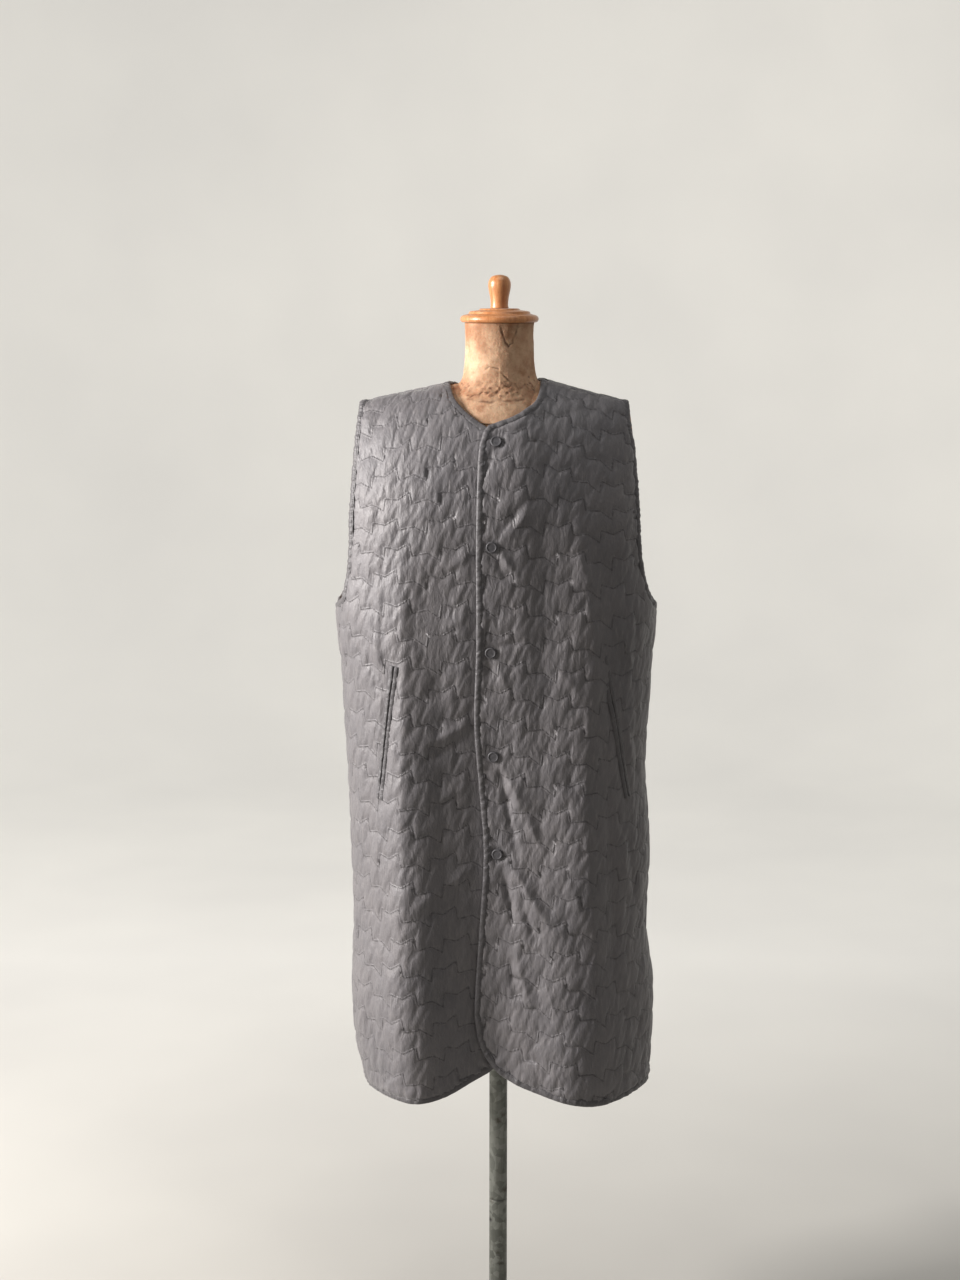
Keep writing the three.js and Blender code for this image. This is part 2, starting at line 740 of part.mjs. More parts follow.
// Puffs are pressed flat round the snaps and, on the lower front, inside the lap
const snapPlaces = SNAPS.map(patternPoint);
function puffNearSnaps(s, v) {
  const nearest = Math.min(...snapPlaces.map((snap) => Math.hypot(snap.x - s, snap.y - v)));
  return smooth(SNAP_FLAT.from, SNAP_FLAT.to, nearest);
}
const puffInLap = (s) => mix(1, LAP_PRESSED.share, smooth(LAP_PRESSED.from, LAP_PRESSED.to, s));

// A cut block keeps only its largest body, without the slivers of a cut
function largestBody(solid) {
  return solid.decompose().reduce((a, b) => (a.volume() > b.volume() ? a : b));
}

// Pocket welts lie along a straight line of the pattern
function weltPocket(side) {
  const [top, bottom] = [patternPoint(POCKETS[side].top), patternPoint(POCKETS[side].bottom)];
  const along = bottom.clone().sub(top).normalize();
  const across = new THREE.Vector2(-along.y, along.x);
  const places = [];
  for (let i = 0; i <= WELT_STEPS; i++) {
    const at = top.clone().lerp(bottom, i / WELT_STEPS).addScaledVector(across, -WELT_WIDE / 2);
    places.push({ at, across });
  }
  const corners = [
    [top, -1, -1],
    [bottom, 1, -1],
    [bottom, 1, 1],
    [top, -1, 1],
  ].map(([at, past, beside]) =>
    at
      .clone()
      .addScaledVector(along, past * EDGE_GAP)
      .addScaledVector(across, beside * (WELT_WIDE / 2 + EDGE_GAP)),
  );
  return { welt: tape(stationsOf(places, "front"), 1, false, WELT), slot: block(corners) };
}

const armholePlaces = (face, side) =>
  placesOn(armholeLine(face, side), DOWN, toSide(side), sign(side));

// The cut edge of a panel inside a bound edge, ended on the seams
function clothEdge(face, side, places) {
  const line = besidePlaces(places, TAPE_WIDE + EDGE_GAP);
  line[0].y = SEAM_GAP / 2;
  const end = line[line.length - 1];
  end.x = seamAt(face, side, end.y);
  return line;
}

function slabUnder(outline, tilt, puffAt) {
  const across = outline.map((p) => p.x);
  const down = outline.map((p) => p.y);
  return quiltedSlab({
    from: Math.min(...across) - SLAB_PAST.side,
    to: Math.max(...across) + SLAB_PAST.side,
    top: SLAB_TOP,
    bottom: Math.max(...down) + SLAB_PAST.bottom,
    tilt,
    puffAt,
  });
}

function frontPanel(side) {
  const name = "front_" + side;
  const upper = side === "left";
  const lift = upper ? lapLift : NO_LIFT;
  const edge = placesOn(frontEdge(side), DOWN, toSide(side), -sign(side));
  const front = clothEdge("front", side, edge);
  const arm = clothEdge("front", side, armholePlaces("front", side));
  const seamTop = arm[arm.length - 1].y + SEAM_ENDS.armhole;
  const seam = seamLine("front", side, seamTop, front[front.length - 1].y - SEAM_ENDS.hem);
  const outline = [...arm, ...seam, ...front.reverse()];

  const { welt, slot } = weltPocket(side);
  const slab = slabUnder(outline, ROW_TILT[name], upper ? puffNearSnaps : puffInLap);
  let flat = slab.intersect(block(outline)).subtract(slot);
  if (upper) {
    for (const snap of snapPlaces) {
      const hole = new THREE.CylinderGeometry(SNAP.hole, SNAP.hole, 2 * BLOCK.high, SNAP.holeSides);
      hole.rotateX(Math.PI / 2).translate(snap.x, snap.y, 0);
      flat = flat.subtract(solidOf(hole));
    }
  }
  addMesh(name, wrapSolid(largestBody(flat), "front", lift), "cloth");
  addMesh("pocket_welt_" + side, welt, "tape");
  addMesh("binding_front_" + side, tape(stationsOf(edge, "front", lift), upper ? 1 : HIDDEN_TAPE), "tape");
}

function backPanel() {
  const neck = placesOn(backNeckLine(), DOWN, UP, -1);
  const hem = placesOn(backHemLine(), toSide("right"), toSide("right"), 1);
  const neckEdge = besidePlaces(neck, TAPE_WIDE + EDGE_GAP);
  neckEdge[0].y = SEAM_GAP / 2;
  neckEdge[neckEdge.length - 1].y = SEAM_GAP / 2;
  const hemEdge = besidePlaces(hem, TAPE_WIDE + EDGE_GAP);
  const low = hemEdge[0].y;
  hemEdge[0].x = seamAt("back", "left", low);
  hemEdge[hemEdge.length - 1].x = seamAt("back", "right", low);
  const [right, left] = ["right", "left"].map((side) => {
    const arm = clothEdge("back", side, armholePlaces("back", side));
    const seamTop = arm[arm.length - 1].y + SEAM_ENDS.armhole;
    return arm.concat(seamLine("back", side, seamTop, low - SEAM_ENDS.hem));
  });
  const outline = [...neckEdge, ...right, ...hemEdge.reverse(), ...left.reverse()];
  const slab = slabUnder(outline, ROW_TILT.back, () => 1);
  addMesh("back", wrapSolid(largestBody(slab.intersect(block(outline))), "back", NO_LIFT), "cloth");
  addMesh("binding_back_neck", tape(stationsOf(neck, "back")), "tape");
  addMesh("binding_back_hem", tape(stationsOf(hem, "back")), "tape");
}

// Armhole binding: down the front from the shoulder, round the underarm and up the back
function armholeBinding(side) {
  const front = stationsOf(armholePlaces("front", side), "front");
  const back = stationsOf(armholePlaces("back", side), "back").reverse();
  addMesh("binding_armhole_" + side, tape([...front.slice(0, -1), ...back.slice(0, -1)], 1, true), "tape");
}

// A snap: a cap on the upper front over a post that goes down through it
function snap(index) {
  const { x: s, y: v } = snapPlaces[index];
  const profile = [
    { r: SNAP.post, z: SNAP.foot - LAP_LIFT + HIDDEN_TOP },
    { r: SNAP.post, z: SNAP.seat },
    { r: SNAP.radius, z: SNAP.seat },
    { r: SNAP.radius, z: SNAP.shoulder },
    { r: SNAP.rim, z: SNAP.top },
    { r: SNAP.dish, z: SNAP.dishTop },
  ];
  const foot = wrap("front", s, v, lapLift(s));
  const out = wrap("front", s, v, lapLift(s) + 1).sub(foot);
  const turn = new THREE.Quaternion().setFromUnitVectors(new THREE.Vector3(0, 0, 1), out.normalize());
  const place = new THREE.Matrix4().compose(foot, turn, new THREE.Vector3(1, 1, 1));
  addMesh("snap_" + (index + 1), turned(profile, SNAP.sides, place), "snap");
}

// A round solid from the axis out and up, set in place
function turned(profile, sides = ROUND_SIDES, place = new THREE.Matrix4()) {
  const points = profile.map(({ r, z }) => new THREE.Vector2(r, z));
  const outline = [new THREE.Vector2(0, profile[0].z), ...points];
  outline.push(new THREE.Vector2(0, profile[profile.length - 1].z));
  return solidOf(new THREE.LatheGeometry(outline, sides).rotateX(Math.PI / 2).applyMatrix4(place));
}
const raised = (profile, z) => profile.map((point) => ({ r: point.r, z: point.z + z }));
const rod = (r, from, to) => turned([{ r, z: from }, { r, z: to }]);

// The torso: rings from the flat bottom up to the shoulder line, closed along it
function torsoBody() {
  const levels = [...TORSO_LEVELS];
  const height = TORSO_RIDGE_Z - ROUNDING_Z;
  for (const turn of TORSO_TOP_TURNS) {
    levels.push(ROUNDING_Z + height * Math.cos(THREE.MathUtils.degToRad(turn)));
  }
  const loops = levels.map((level) => {
    const loop = [];
    for (const face of ["front", "back"]) {
      const half = [];
      for (let i = 0; i < TORSO_STEPS; i++) {
        const turn = Math.PI * (i / TORSO_STEPS - 0.5);
        half.push(bodyPoint(TORSO, TORSO_RIDGE_Z, face, face === "front" ? turn : -turn, level));
      }
      loop.push(...half);
    }
    return loop;
  });
  return loft(loops);
}

function dressForm() {
  const plates = new THREE.BoxGeometry(ARM_PLATES.right + ARM_PLATES.left, 4 * RIDGE_Z, 4 * RIDGE_Z);
  plates.translate((ARM_PLATES.left - ARM_PLATES.right) / 2, 0, 0);
  const bottom = TORSO[TORSO.length - 1].z;
  const torso = torsoBody()
    .intersect(solidOf(plates))
    .add(turned(NECK))
    .subtract(rod(POLE_RADIUS + SOCKET_GAP, bottom - SOCKET_PAST, bottom + POLE_IN_TORSO));
  addMesh("form_torso", torso, "form");
  addMesh("form_neck_cap", turned(raised(CAP, CAP_SEAT_Z)), "wood");
  const capTop = CAP_SEAT_Z + CAP[CAP.length - 1].z;
  addMesh("form_knob", turned(raised(KNOB, capTop + SOCKET_GAP), KNOB_SIDES), "wood");
  addMesh("form_pole", rod(POLE_RADIUS, POLE_FOOT_Z, bottom + POLE_IN_TORSO - SOCKET_GAP), "steel");
  const socket = rod(POLE_RADIUS + SOCKET_GAP, POLE_FOOT_Z - SOCKET_GAP, BASE_TOP + SOCKET_PAST);
  addMesh("form_base", turned(BASE, BASE_SIDES).subtract(socket), "iron");
}

for (const side of ["left", "right"]) frontPanel(side);
backPanel();
for (const side of ["left", "right"]) armholeBinding(side);
SNAPS.forEach((_, index) => snap(index));
dressForm();

export default meshes;
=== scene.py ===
import math
import bmesh
import bpy
import numpy as np
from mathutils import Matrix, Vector


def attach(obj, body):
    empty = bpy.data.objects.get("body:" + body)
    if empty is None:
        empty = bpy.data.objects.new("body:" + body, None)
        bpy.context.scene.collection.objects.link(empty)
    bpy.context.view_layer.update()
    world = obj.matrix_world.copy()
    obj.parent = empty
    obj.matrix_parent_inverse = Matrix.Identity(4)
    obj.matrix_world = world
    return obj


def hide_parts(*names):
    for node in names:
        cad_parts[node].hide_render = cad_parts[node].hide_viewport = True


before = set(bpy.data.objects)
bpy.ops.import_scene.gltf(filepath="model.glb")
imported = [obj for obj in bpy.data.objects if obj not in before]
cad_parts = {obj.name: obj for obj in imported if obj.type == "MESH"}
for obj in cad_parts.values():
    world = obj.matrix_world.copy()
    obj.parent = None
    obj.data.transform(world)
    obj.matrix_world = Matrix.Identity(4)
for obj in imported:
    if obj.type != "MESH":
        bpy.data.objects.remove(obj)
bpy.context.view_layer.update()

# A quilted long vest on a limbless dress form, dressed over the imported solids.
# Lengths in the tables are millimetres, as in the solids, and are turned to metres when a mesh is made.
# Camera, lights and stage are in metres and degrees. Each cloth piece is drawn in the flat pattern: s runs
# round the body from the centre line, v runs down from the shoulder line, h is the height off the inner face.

MM = 0.001

# Camera: where the photograph was taken from
CAMERA_AT = (-0.026, -2.8, 1.515)
CAMERA_PITCH_DOWN = 9.5
CAMERA_FOV = 34.3

VIEW_GAMMA = 0.88

# Lights in metres and watts: the key from the wearer's right, as from a window
LIGHTS = {
    "key": {
        "place": (-2.95, -0.72, 1.95), "aim": (0, 0, 1.15), "size": (0.9, 1.6), "power": 244,
        "color": (1, 0.965, 0.94),
    },
    "top": {
        "place": (0.4, -0.5, 3.5), "aim": (0, 0, 1.2), "size": (2.0, 1.6), "power": 22,
        "color": (1, 1, 1),
    },
    "fill": {
        "place": (2.2, -3.4, 2.2), "aim": (0, 0, 0.9), "size": (2.5, 2.5), "power": 4,
        "color": (0.84, 0.9, 1),
    },
}
WORLD_COLOR = (0.95, 0.97, 1, 1)
WORLD_GLOW = 0.015

# Stage: a round room in metres, dim before and beside the object and bright behind it
STAGE = {
    "radius": 5.2, "turn": 1.7, "high": 6.0, "sides": 60, "below": 0.0005,
    "glow_from": -0.2, "glow_to": 1.8, "dim": 0.02, "bright": 0.45, "glow_color": (0.97, 0.96, 0.92, 1),
    "darker": (170, 168, 164), "lighter": (182, 180, 175),
}

# Body of the vest: plan sections from the hem up
COLUMNS = ("z", "right", "left", "front", "back", "fold", "back_fold")
VEST = [
    (400, 178, 206, 120, 121, 23, 12),
    (490, 197, 213, 122, 122, 22, 11),
    (560, 203, 214, 121, 121, 20, 10),
    (655, 199, 203, 120, 117, 18, 8),
    (760, 201, 206, 119, 112, 15, 6),
    (880, 206, 199, 118, 107, 11, 4),
    (1000, 211, 204, 119, 105, 7, 2),
    (1096, 218, 211, 120, 106, 3, 1),
    (1150, 214, 203, 119, 108, 1, 0),
    (1250, 211, 196, 116, 110, 0, 0),
    (1340, 201, 186, 113, 108, 0, 0),
    (1400, 188, 176, 112, 106, 0, 0),
]
RIDGE_Z = 1400.0
ROUNDING_Z = 1200.0
CORNER_POWER = 2.6
CLOSING = {"front": 2.0, "back": 3.0}
FOLDS = {
    "front": {"valley": -20, "right": 106, "left": 138},
    "back": {"valley": 10, "right": 120, "left": 110},
}
SHOULDERS = {"right": {"start": 58, "low": 4, "slope": 0.21}, "left": {"start": 52, "low": 0, "slope": 0.26}}
SHOULDER_FADE = (1150, 1330)
SEAM_GAP = 0.3

# Edges of the fronts, armholes and hem in the front view, x and z
NECK = {
    "right": [(-67, 1396), (-61, 1380), (-49, 1365), (-33, 1352), (-16, 1341), (0, 1335), (12, 1332)],
    "left": [(55, 1400), (53, 1388), (47, 1373), (33, 1361), (17, 1352), (-1, 1346), (-15, 1341)],
}
EDGE = {
    "right": [
        (12, 1332), (13, 1200), (12, 950), (13, 700), (12, 560), (6, 505), (-4, 474), (-26, 456),
        (-67, 437), (-108, 430), (-150, 428),
    ],
    "left": [
        (-15, 1341), (-22, 1330), (-28, 1300), (-31, 1200), (-31, 1060), (-34, 955), (-27, 860), (-21, 775),
        (-27, 670), (-34, 570), (-33, 535), (-25, 500), (-3, 468), (28, 451), (83, 434), (137, 425),
    ],
}
HEM_SIDE_Z = 425
BACK_HEM_Z = 424
BACK_NECK = {"right": 66, "left": 56, "depth": 70, "power": 0.8}
ARMHOLE = {
    "right": [
        (-184, 1371), (-189, 1340), (-193, 1300), (-197, 1245), (-199, 1180), (-203, 1140), (-210, 1112),
    ],
    "left": [
        (172, 1371), (174, 1340), (180, 1300), (184, 1245), (187, 1180), (193, 1140), (203, 1112),
    ],
}
UNDERARM_Z = 1097

# Quilting: one stitched zigzag a row
ROW_PITCH = 38.0
REPEAT = 76.0
ROW_SHIFT = 17.5
ROW_REACH = 26
MOTIF = [(0, 0), (16, -10), (19, 8), (39, 4), (56, 15), (58, -4), (76, 0)]
TILT = {"front_left": (0.07, 0.00012), "front_right": (0.0, 0.0), "back": (0.0, 0.0)}
STITCHED = 1.7
PUFF_SOFT = 2.7
CLOTH_STEP = {"front": 2.55, "back": 3.35}
INNER_FACE = 0.15
THINNEST = 0.6

# Where the cloth is held flat: the least share of its relief, and fades over distances
HELD = {"least": 0.12, "edge": (5, 11), "seam": (0, 9), "top": (0, 9)}
PRESSED = {"snap": (7, 16), "pocket": (6, 15), "pocket_least": 0.2}

# Cloth simulation of the quilting: cut larger than its stitching, it gathers into puckers
SIM = {
    "scale": 20.0, "grown": 0.05, "grown_down": 0.008, "slant": 20.0, "frames": 16, "gather": 8, "push": 0.8,
    "tension": 15.0, "bend": 0.7, "damping": 5.0, "mass": 0.3, "quality": 4,
}
PINNED = {"stitch": 0.62, "edge": 5.0, "snap": 8.0}
PUCKER = {"puff": 1.1, "reach": 5.0, "ripple": 0.9, "ripple_reach": 3.0, "slant": 0.36, "tall": 3.0,
          "wide": 6.4, "fine": 4.0}

# Values on a side of the grid that the seeded noise repeats, and places measured at a time
NOISE_GRID = 64
BATCH = 4000

# Lap of the two fronts
LAP_LIFT = 4.6
LAP_FLAT = (26, 62)
LAP_PRESSED = {"from": -46, "to": -33, "share": 0.3}

# Bound edges: the cloth ends under them, and a place far past them closes its outline
TAPE_WIDE = 9.6
TAPE_STEP = 1.5
CLOTH_UNDER_TAPE = 5.0
FAR = 400.0
DOWN = (0, 1)
TAPE_NOISE = {"pinch": (0.17, 6.5), "fine_pinch": (0.13, 3.2), "ripple": (0.55, 4.2), "reach": (0.3, 9.0)}

# Creases one by one, in a level view: from x, z to x, z, how wide and how high, troughs below zero
CREASES = {
    "front": [
        (-128, 1200, -127, 900, 17, 4.0),
        (-128, 1010, -130, 640, 17, 5.0),
        (-129, 730, -132, 452, 17, 4.0),
        (-82, 1150, -80, 860, 22, -4.5),
        (-80, 930, -68, 560, 24, -5.5),
        (-70, 650, -66, 455, 22, -4.5),
        (98, 1230, 124, 1050, 15, 3.0),
        (124, 1090, 110, 820, 15, 4.0),
        (108, 890, 136, 500, 17, 4.5),
        (142, 1180, 148, 900, 14, -3.0),
        (140, 950, 158, 540, 15, -3.5),
        (-6, 1316, -30, 1266, 4, -3.0),
        (34, 1250, -4, 1204, 5, -3.5),
        (44, 1243, 6, 1196, 5, 1.8),
        (-2, 1182, 24, 1150, 4, 2.6),
        (-6, 1178, 12, 1138, 4, -2.2),
        (-4, 1056, 30, 1068, 5, -2.6),
        (-8, 1040, -20, 1012, 6, -3.0),
        (-6, 1042, 16, 990, 5, 2.0),
        (2, 903, 62, 776, 7, 5.0),
        (0, 896, 28, 762, 6, -4.5),
        (26, 856, 44, 812, 5, -3.5),
        (16, 846, 22, 800, 4, 2.2),
        (10, 770, 78, 664, 8, 5.0),
        (6, 764, 20, 676, 6, -5.0),
        (30, 720, 50, 650, 5, -2.6),
        (0, 764, 36, 706, 4, 1.8),
        (-104, 919, -38, 957, 7, 2.6),
        (-100, 900, -34, 940, 8, -2.4),
        (-112, 703, -33, 760, 8, 2.8),
        (-104, 684, -34, 734, 8, -2.6),
        (-69, 1157, -34, 1186, 6, 2.0),
        (-92, 1064, -36, 1104, 7, 1.8),
        (-98, 840, -40, 872, 7, 1.8),
        (-90, 600, -36, 640, 9, 2.2),
        (-96, 560, -52, 590, 8, -2.0),
        (24, 640, 46, 560, 6, 2.6),
        (14, 630, 30, 556, 6, -2.8),
        (60, 610, 84, 540, 7, 2.0),
        (96, 1180, 128, 1120, 8, 2.0),
        (74, 1040, 108, 984, 8, 2.0),
        (84, 900, 112, 838, 8, -2.2),
        (90, 750, 118, 672, 8, 2.0),
        (-168, 1080, -150, 1010, 6, 2.2),
        (-176, 1060, -160, 992, 5, -2.0),
        (-172, 800, -158, 716, 7, 2.0),
        (-150, 640, -140, 548, 8, 1.8),
        (160, 1084, 176, 1012, 5, 2.2),
        (150, 1070, 166, 1000, 5, -2.0),
        (168, 960, 178, 880, 5, 2.0),
        (178, 940, 188, 860, 5, -2.0),
        (164, 800, 170, 712, 6, 2.0),
        (176, 780, 182, 690, 5, -2.2),
        (168, 640, 172, 556, 6, 1.8),
    ],
    "back": [
        (-120, 1120, -112, 760, 17, 3.5),
        (-114, 860, -120, 470, 18, 4.5),
        (-66, 900, -72, 480, 22, -4.5),
        (112, 1100, 104, 740, 17, 3.5),
        (104, 820, 112, 470, 18, 4.5),
        (58, 880, 66, 480, 22, -4.5),
        (-60, 1240, 10, 1290, 8, 1.6),
        (70, 1220, 30, 1274, 7, 1.4),
        (-150, 1130, -96, 1190, 8, 2.0),
        (148, 1140, 100, 1186, 8, 2.2),
        (-170, 1060, -142, 984, 7, 2.0),
        (-160, 1044, -132, 966, 6, -2.2),
        (168, 1072, 140, 1000, 7, 2.2),
        (156, 1050, 130, 984, 6, -2.0),
        (-96, 980, -30, 930, 8, 2.4),
        (-88, 958, -26, 908, 8, -2.6),
        (24, 960, 92, 1000, 8, 2.2),
        (30, 940, 96, 978, 7, -2.2),
        (-40, 820, 22, 760, 9, 2.4),
        (60, 840, 110, 770, 8, 2.0),
        (-130, 800, -110, 690, 9, 2.4),
        (-114, 796, -96, 690, 7, -2.4),
        (140, 760, 128, 650, 9, 2.4),
        (124, 752, 112, 650, 7, -2.2),
        (-20, 640, 0, 540, 9, 2.2),
        (40, 620, 62, 520, 8, 2.0),
        (-70, 600, -60, 500, 8, 2.0),
    ],
}
CREASE_TAPER = 0.7
CREASE_WANDER = {"high": 1.6, "size": 14.0}
SIDE_WRINKLE = {"from": 138, "to": 160, "high": 0.9, "wide": 9.0, "tall": 55.0}
DRAPE = {"size": 58.0, "high": 1.3, "fine": 27.0, "fine_high": 0.7}
FORM_CLEAR = {"chest": 1060, "waist": 960, "chest_in": 0.0, "waist_in": 6.0}
CREASES_OFF = {"snap": (6.5, 17.0), "seam": (0.0, 22.0), "top": (0.0, 60.0)}

# Gathers along the bound edges, deeper at the hem and the rounded corners
GATHERS = {
    "from": 9.0, "to": 26.0, "wide": 6.4, "fine": 3.6,
    "high": 2.2, "upper": 0.4, "hem_from": 560, "hem_to": 500,
}

# The form under the vest: sections of its body, profiles of its turned parts as radius and z
TORSO = [
    (740, 170, 170, 92, 98, 0, 0),
    (860, 164, 164, 90, 92, 0, 0),
    (960, 150, 150, 86, 82, 0, 0),
    (1040, 160, 160, 92, 86, 0, 0),
    (1150, 184, 184, 106, 98, 0, 0),
    (1250, 194, 188, 110, 104, 0, 0),
    (1340, 195, 182, 110, 103.5, 0, 0),
    (1400, 186, 174, 110, 102.5, 0, 0),
]
TORSO_RIDGE_Z = 1399.0
ARM_PLATES = {"right": 182, "left": 179}
TORSO_ROWS = {"straight": 96, "rounded": 46, "half_round": 96}
TORSO_SKIN = {"high": 0.35, "size": 23.0, "fine_high": 0.15, "fine_size": 8.0, "sunk": 0.5, "seam": (0, 12)}
NECK_PROFILE = [
    (76, 1346), (67, 1364), (60, 1378), (53, 1392), (48.5, 1408), (45.9, 1434), (45.6, 1455), (46.4, 1476),
]
NECK_CRACKS = [
    ([(0, 1474), (3, 1463), (7, 1451), (12, 1445), (17, 1450), (21, 1462), (24, 1474)], 0.9, 1.0),
    ([(-18, 1416), (-14, 1419), (-8, 1419), (-1, 1415), (6, 1407), (12, 1401), (16, 1397), (13, 1393),
      (8, 1394), (3, 1397)], 0.9, 1.2),
    ([(-42, 1377), (-26, 1374), (-13, 1373), (0, 1376), (16, 1374), (32, 1377)], 1.3, 0.8),
    ([(-52, 1397), (-48, 1393), (-44, 1391)], 0.9, 0.9),
    ([(-39, 1379), (-33, 1383), (-28, 1382), (-24, 1386)], 1.0, 0.9),
    ([(20, 1396), (26, 1389), (33, 1395), (38, 1390)], 1.0, 1.0),
]
NECK_FLARE = 0.42
NECK_FLARE_Z = (1408, 1350)
NECK_SKIN = {
    "radius": 50.0, "girth": 314, "band_z": 1388, "band_high": 13.0, "pits": 90, "pit_spread": 9,
    "pit_size": (0.8, 2.0), "pit_deep": 0.9, "chip_deep": 0.5, "under_cap": (1477, 1470),
}
OUT_OF_REACH = 1e4
CAP_SEAT_Z = 1476.3
CAP_PROFILE = [
    (46.5, 0), (49.5, 0.1), (51.4, 1.5), (52.3, 3.2), (52.4, 5.0), (51.7, 7.0), (50.2, 8.6), (47.5, 9.8),
    (43.0, 10.8), (41.2, 11.6), (40.8, 13.2), (39.8, 14.4), (37.5, 15.0), (28.6, 16.1), (27.2, 16.6),
    (26.6, 17.6), (25.4, 18.3), (14.0, 18.4),
]
KNOB_SEAT_Z = 1495.0
KNOB_PROFILE = [
    (12.2, 0), (11.6, 5), (12.4, 14), (14.2, 23), (15.1, 30), (14.2, 36), (10.8, 41.2), (5, 43.5),
    (0.6, 43.9),
]
POLE_PROFILE = [
    (12.2, 6), (12.7, 6.5), (12.7, 235.6), (12.3, 236.4), (12.3, 237.6), (12.7, 238.4), (12.7, 799.7),
]
# Dark marks on the pole: a line at the ring, painted shade in the notch, and a spot for the pin
POLE_MARKS = {
    "ring": 237, "ring_high": 1.3, "ring_dark": 0.45, "notch": (-11.2, 206), "notch_wide": 2.2,
    "notch_tall": 0.7, "pin": (8.3, 220), "pin_wide": 2.0,
}
BASE_PROFILE = [
    (148, 0.1), (151.5, 0.6), (153.6, 2.4), (154, 4), (154, 7), (153.2, 9.4), (150.5, 11), (100, 13),
    (60, 15), (38, 18), (30, 20), (25, 23.5), (22.4, 28), (21.4, 36), (21, 53), (20.2, 54.6), (13.1, 55),
]
TURNED_SIDES = {"neck": 300, "neck_cap": 120, "knob": 72, "pole": 64, "base": 160, "snap": 48}
TURNED_STEP = {"neck": 1.15, "neck_cap": 1.6, "knob": 1.4, "pole": 4.0, "base": 4.0}
KNOB_LINE_STEP = 1.2

# Thread stitches of the quilted rows
STITCH = {"pitch": 3.4, "long": 2.4, "wide": 0.45, "proud": 0.28, "from_seam": 3, "from_top": 4}
# Painted shade along the stitched rows of the quilted cloth, where their grooves lie in shade
PAINTED_GROOVE_SHADE = (46, 44, 47)

# Snaps and pockets on the front, x and z
SNAPS = [(-5, 1321), (-11, 1189), (-12, 1050), (-8, 909), (-2, 775)]
SNAP_PROFILE = [
    (3.4, -1.2), (3.4, 2.95), (7.0, 3.0), (7.4, 3.4), (7.4, 4.2), (7.1, 4.8), (6.6, 5.15), (6.0, 5.25),
    (5.5, 5.15), (5.2, 4.85), (4.8, 4.75), (2.4, 4.9), (1.0, 4.95),
]
POCKETS = {"right": ((-137, 1030), (-160, 846)), "left": ((136, 1042), (172, 846))}


def smooth(low, high, value):
    t = np.clip((value - low) / (high - low), 0.0, 1.0)
    return t * t * (3 - 2 * t)


def mix(a, b, t):
    return a + (b - a) * t


def column(name, level, table=VEST):
    """Value of a column of a body's table at a level, along a smooth curve through its rows."""
    z = np.array([row[0] for row in table], float)
    value = np.array([row[COLUMNS.index(name)] for row in table], float)
    slope = np.diff(value) / np.diff(z)
    tangent = np.concatenate([slope[:1], (slope[1:] + slope[:-1]) / 2, slope[-1:]])
    level = np.clip(level, z[0], z[-1])
    i = np.clip(np.searchsorted(z, level, side="right") - 1, 0, len(z) - 2)
    span = z[i + 1] - z[i]
    t = (level - z[i]) / span
    return (
        (2 * t**3 - 3 * t**2 + 1) * value[i]
        + (t**3 - 2 * t**2 + t) * span * tangent[i]
        + (3 * t**2 - 2 * t**3) * value[i + 1]
        + (t**3 - t**2) * span * tangent[i + 1]
    )


def run_along(line):
    """Length along a line from its start to each of its points."""
    return np.concatenate([[0], np.cumsum(np.linalg.norm(np.diff(line, axis=0), axis=1))])


def shoulder_drop(x):
    drop = np.zeros_like(x)
    for side, here in (("right", x < 0), ("left", x >= 0)):
        form = SHOULDERS[side]
        across = np.abs(x)
        fall = form["low"] * smooth(0, form["start"], across)
        drop = np.where(here, fall + form["slope"] * np.maximum(0, across - form["start"]), drop)
    return drop


def ring(face, turn, level, table=VEST, ridge=RIDGE_Z):
    """Points of a section: turn is -90 degrees at the wearer's right side and 90 at the left."""
    power = 2 / CORNER_POWER
    half = np.where(turn < 0, column("right", level, table), column("left", level, table))
    x = half * np.sign(turn) * np.abs(np.sin(turn)) ** power
    t = np.clip((level - ROUNDING_Z) / (ridge - ROUNDING_Z), 0, 1)
    closing = CLOSING[face]
    closed = (1 - t**closing) ** (1 / closing)
    fold = FOLDS[face]
    across = x - fold["valley"]
    wave = np.cos(np.pi * across / np.where(across < 0, fold["right"], fold["left"]))
    depth = column("fold" if face == "front" else "back_fold", level, table)
    folded = depth * wave * (1 - np.abs(x / half) ** 6)
    out = column(face, level, table) * np.abs(np.cos(turn)) ** power - folded
    out = np.maximum(0, out * closed)
    z = level - shoulder_drop(x) * smooth(*SHOULDER_FADE, level)
    return x, (-out if face == "front" else out), z


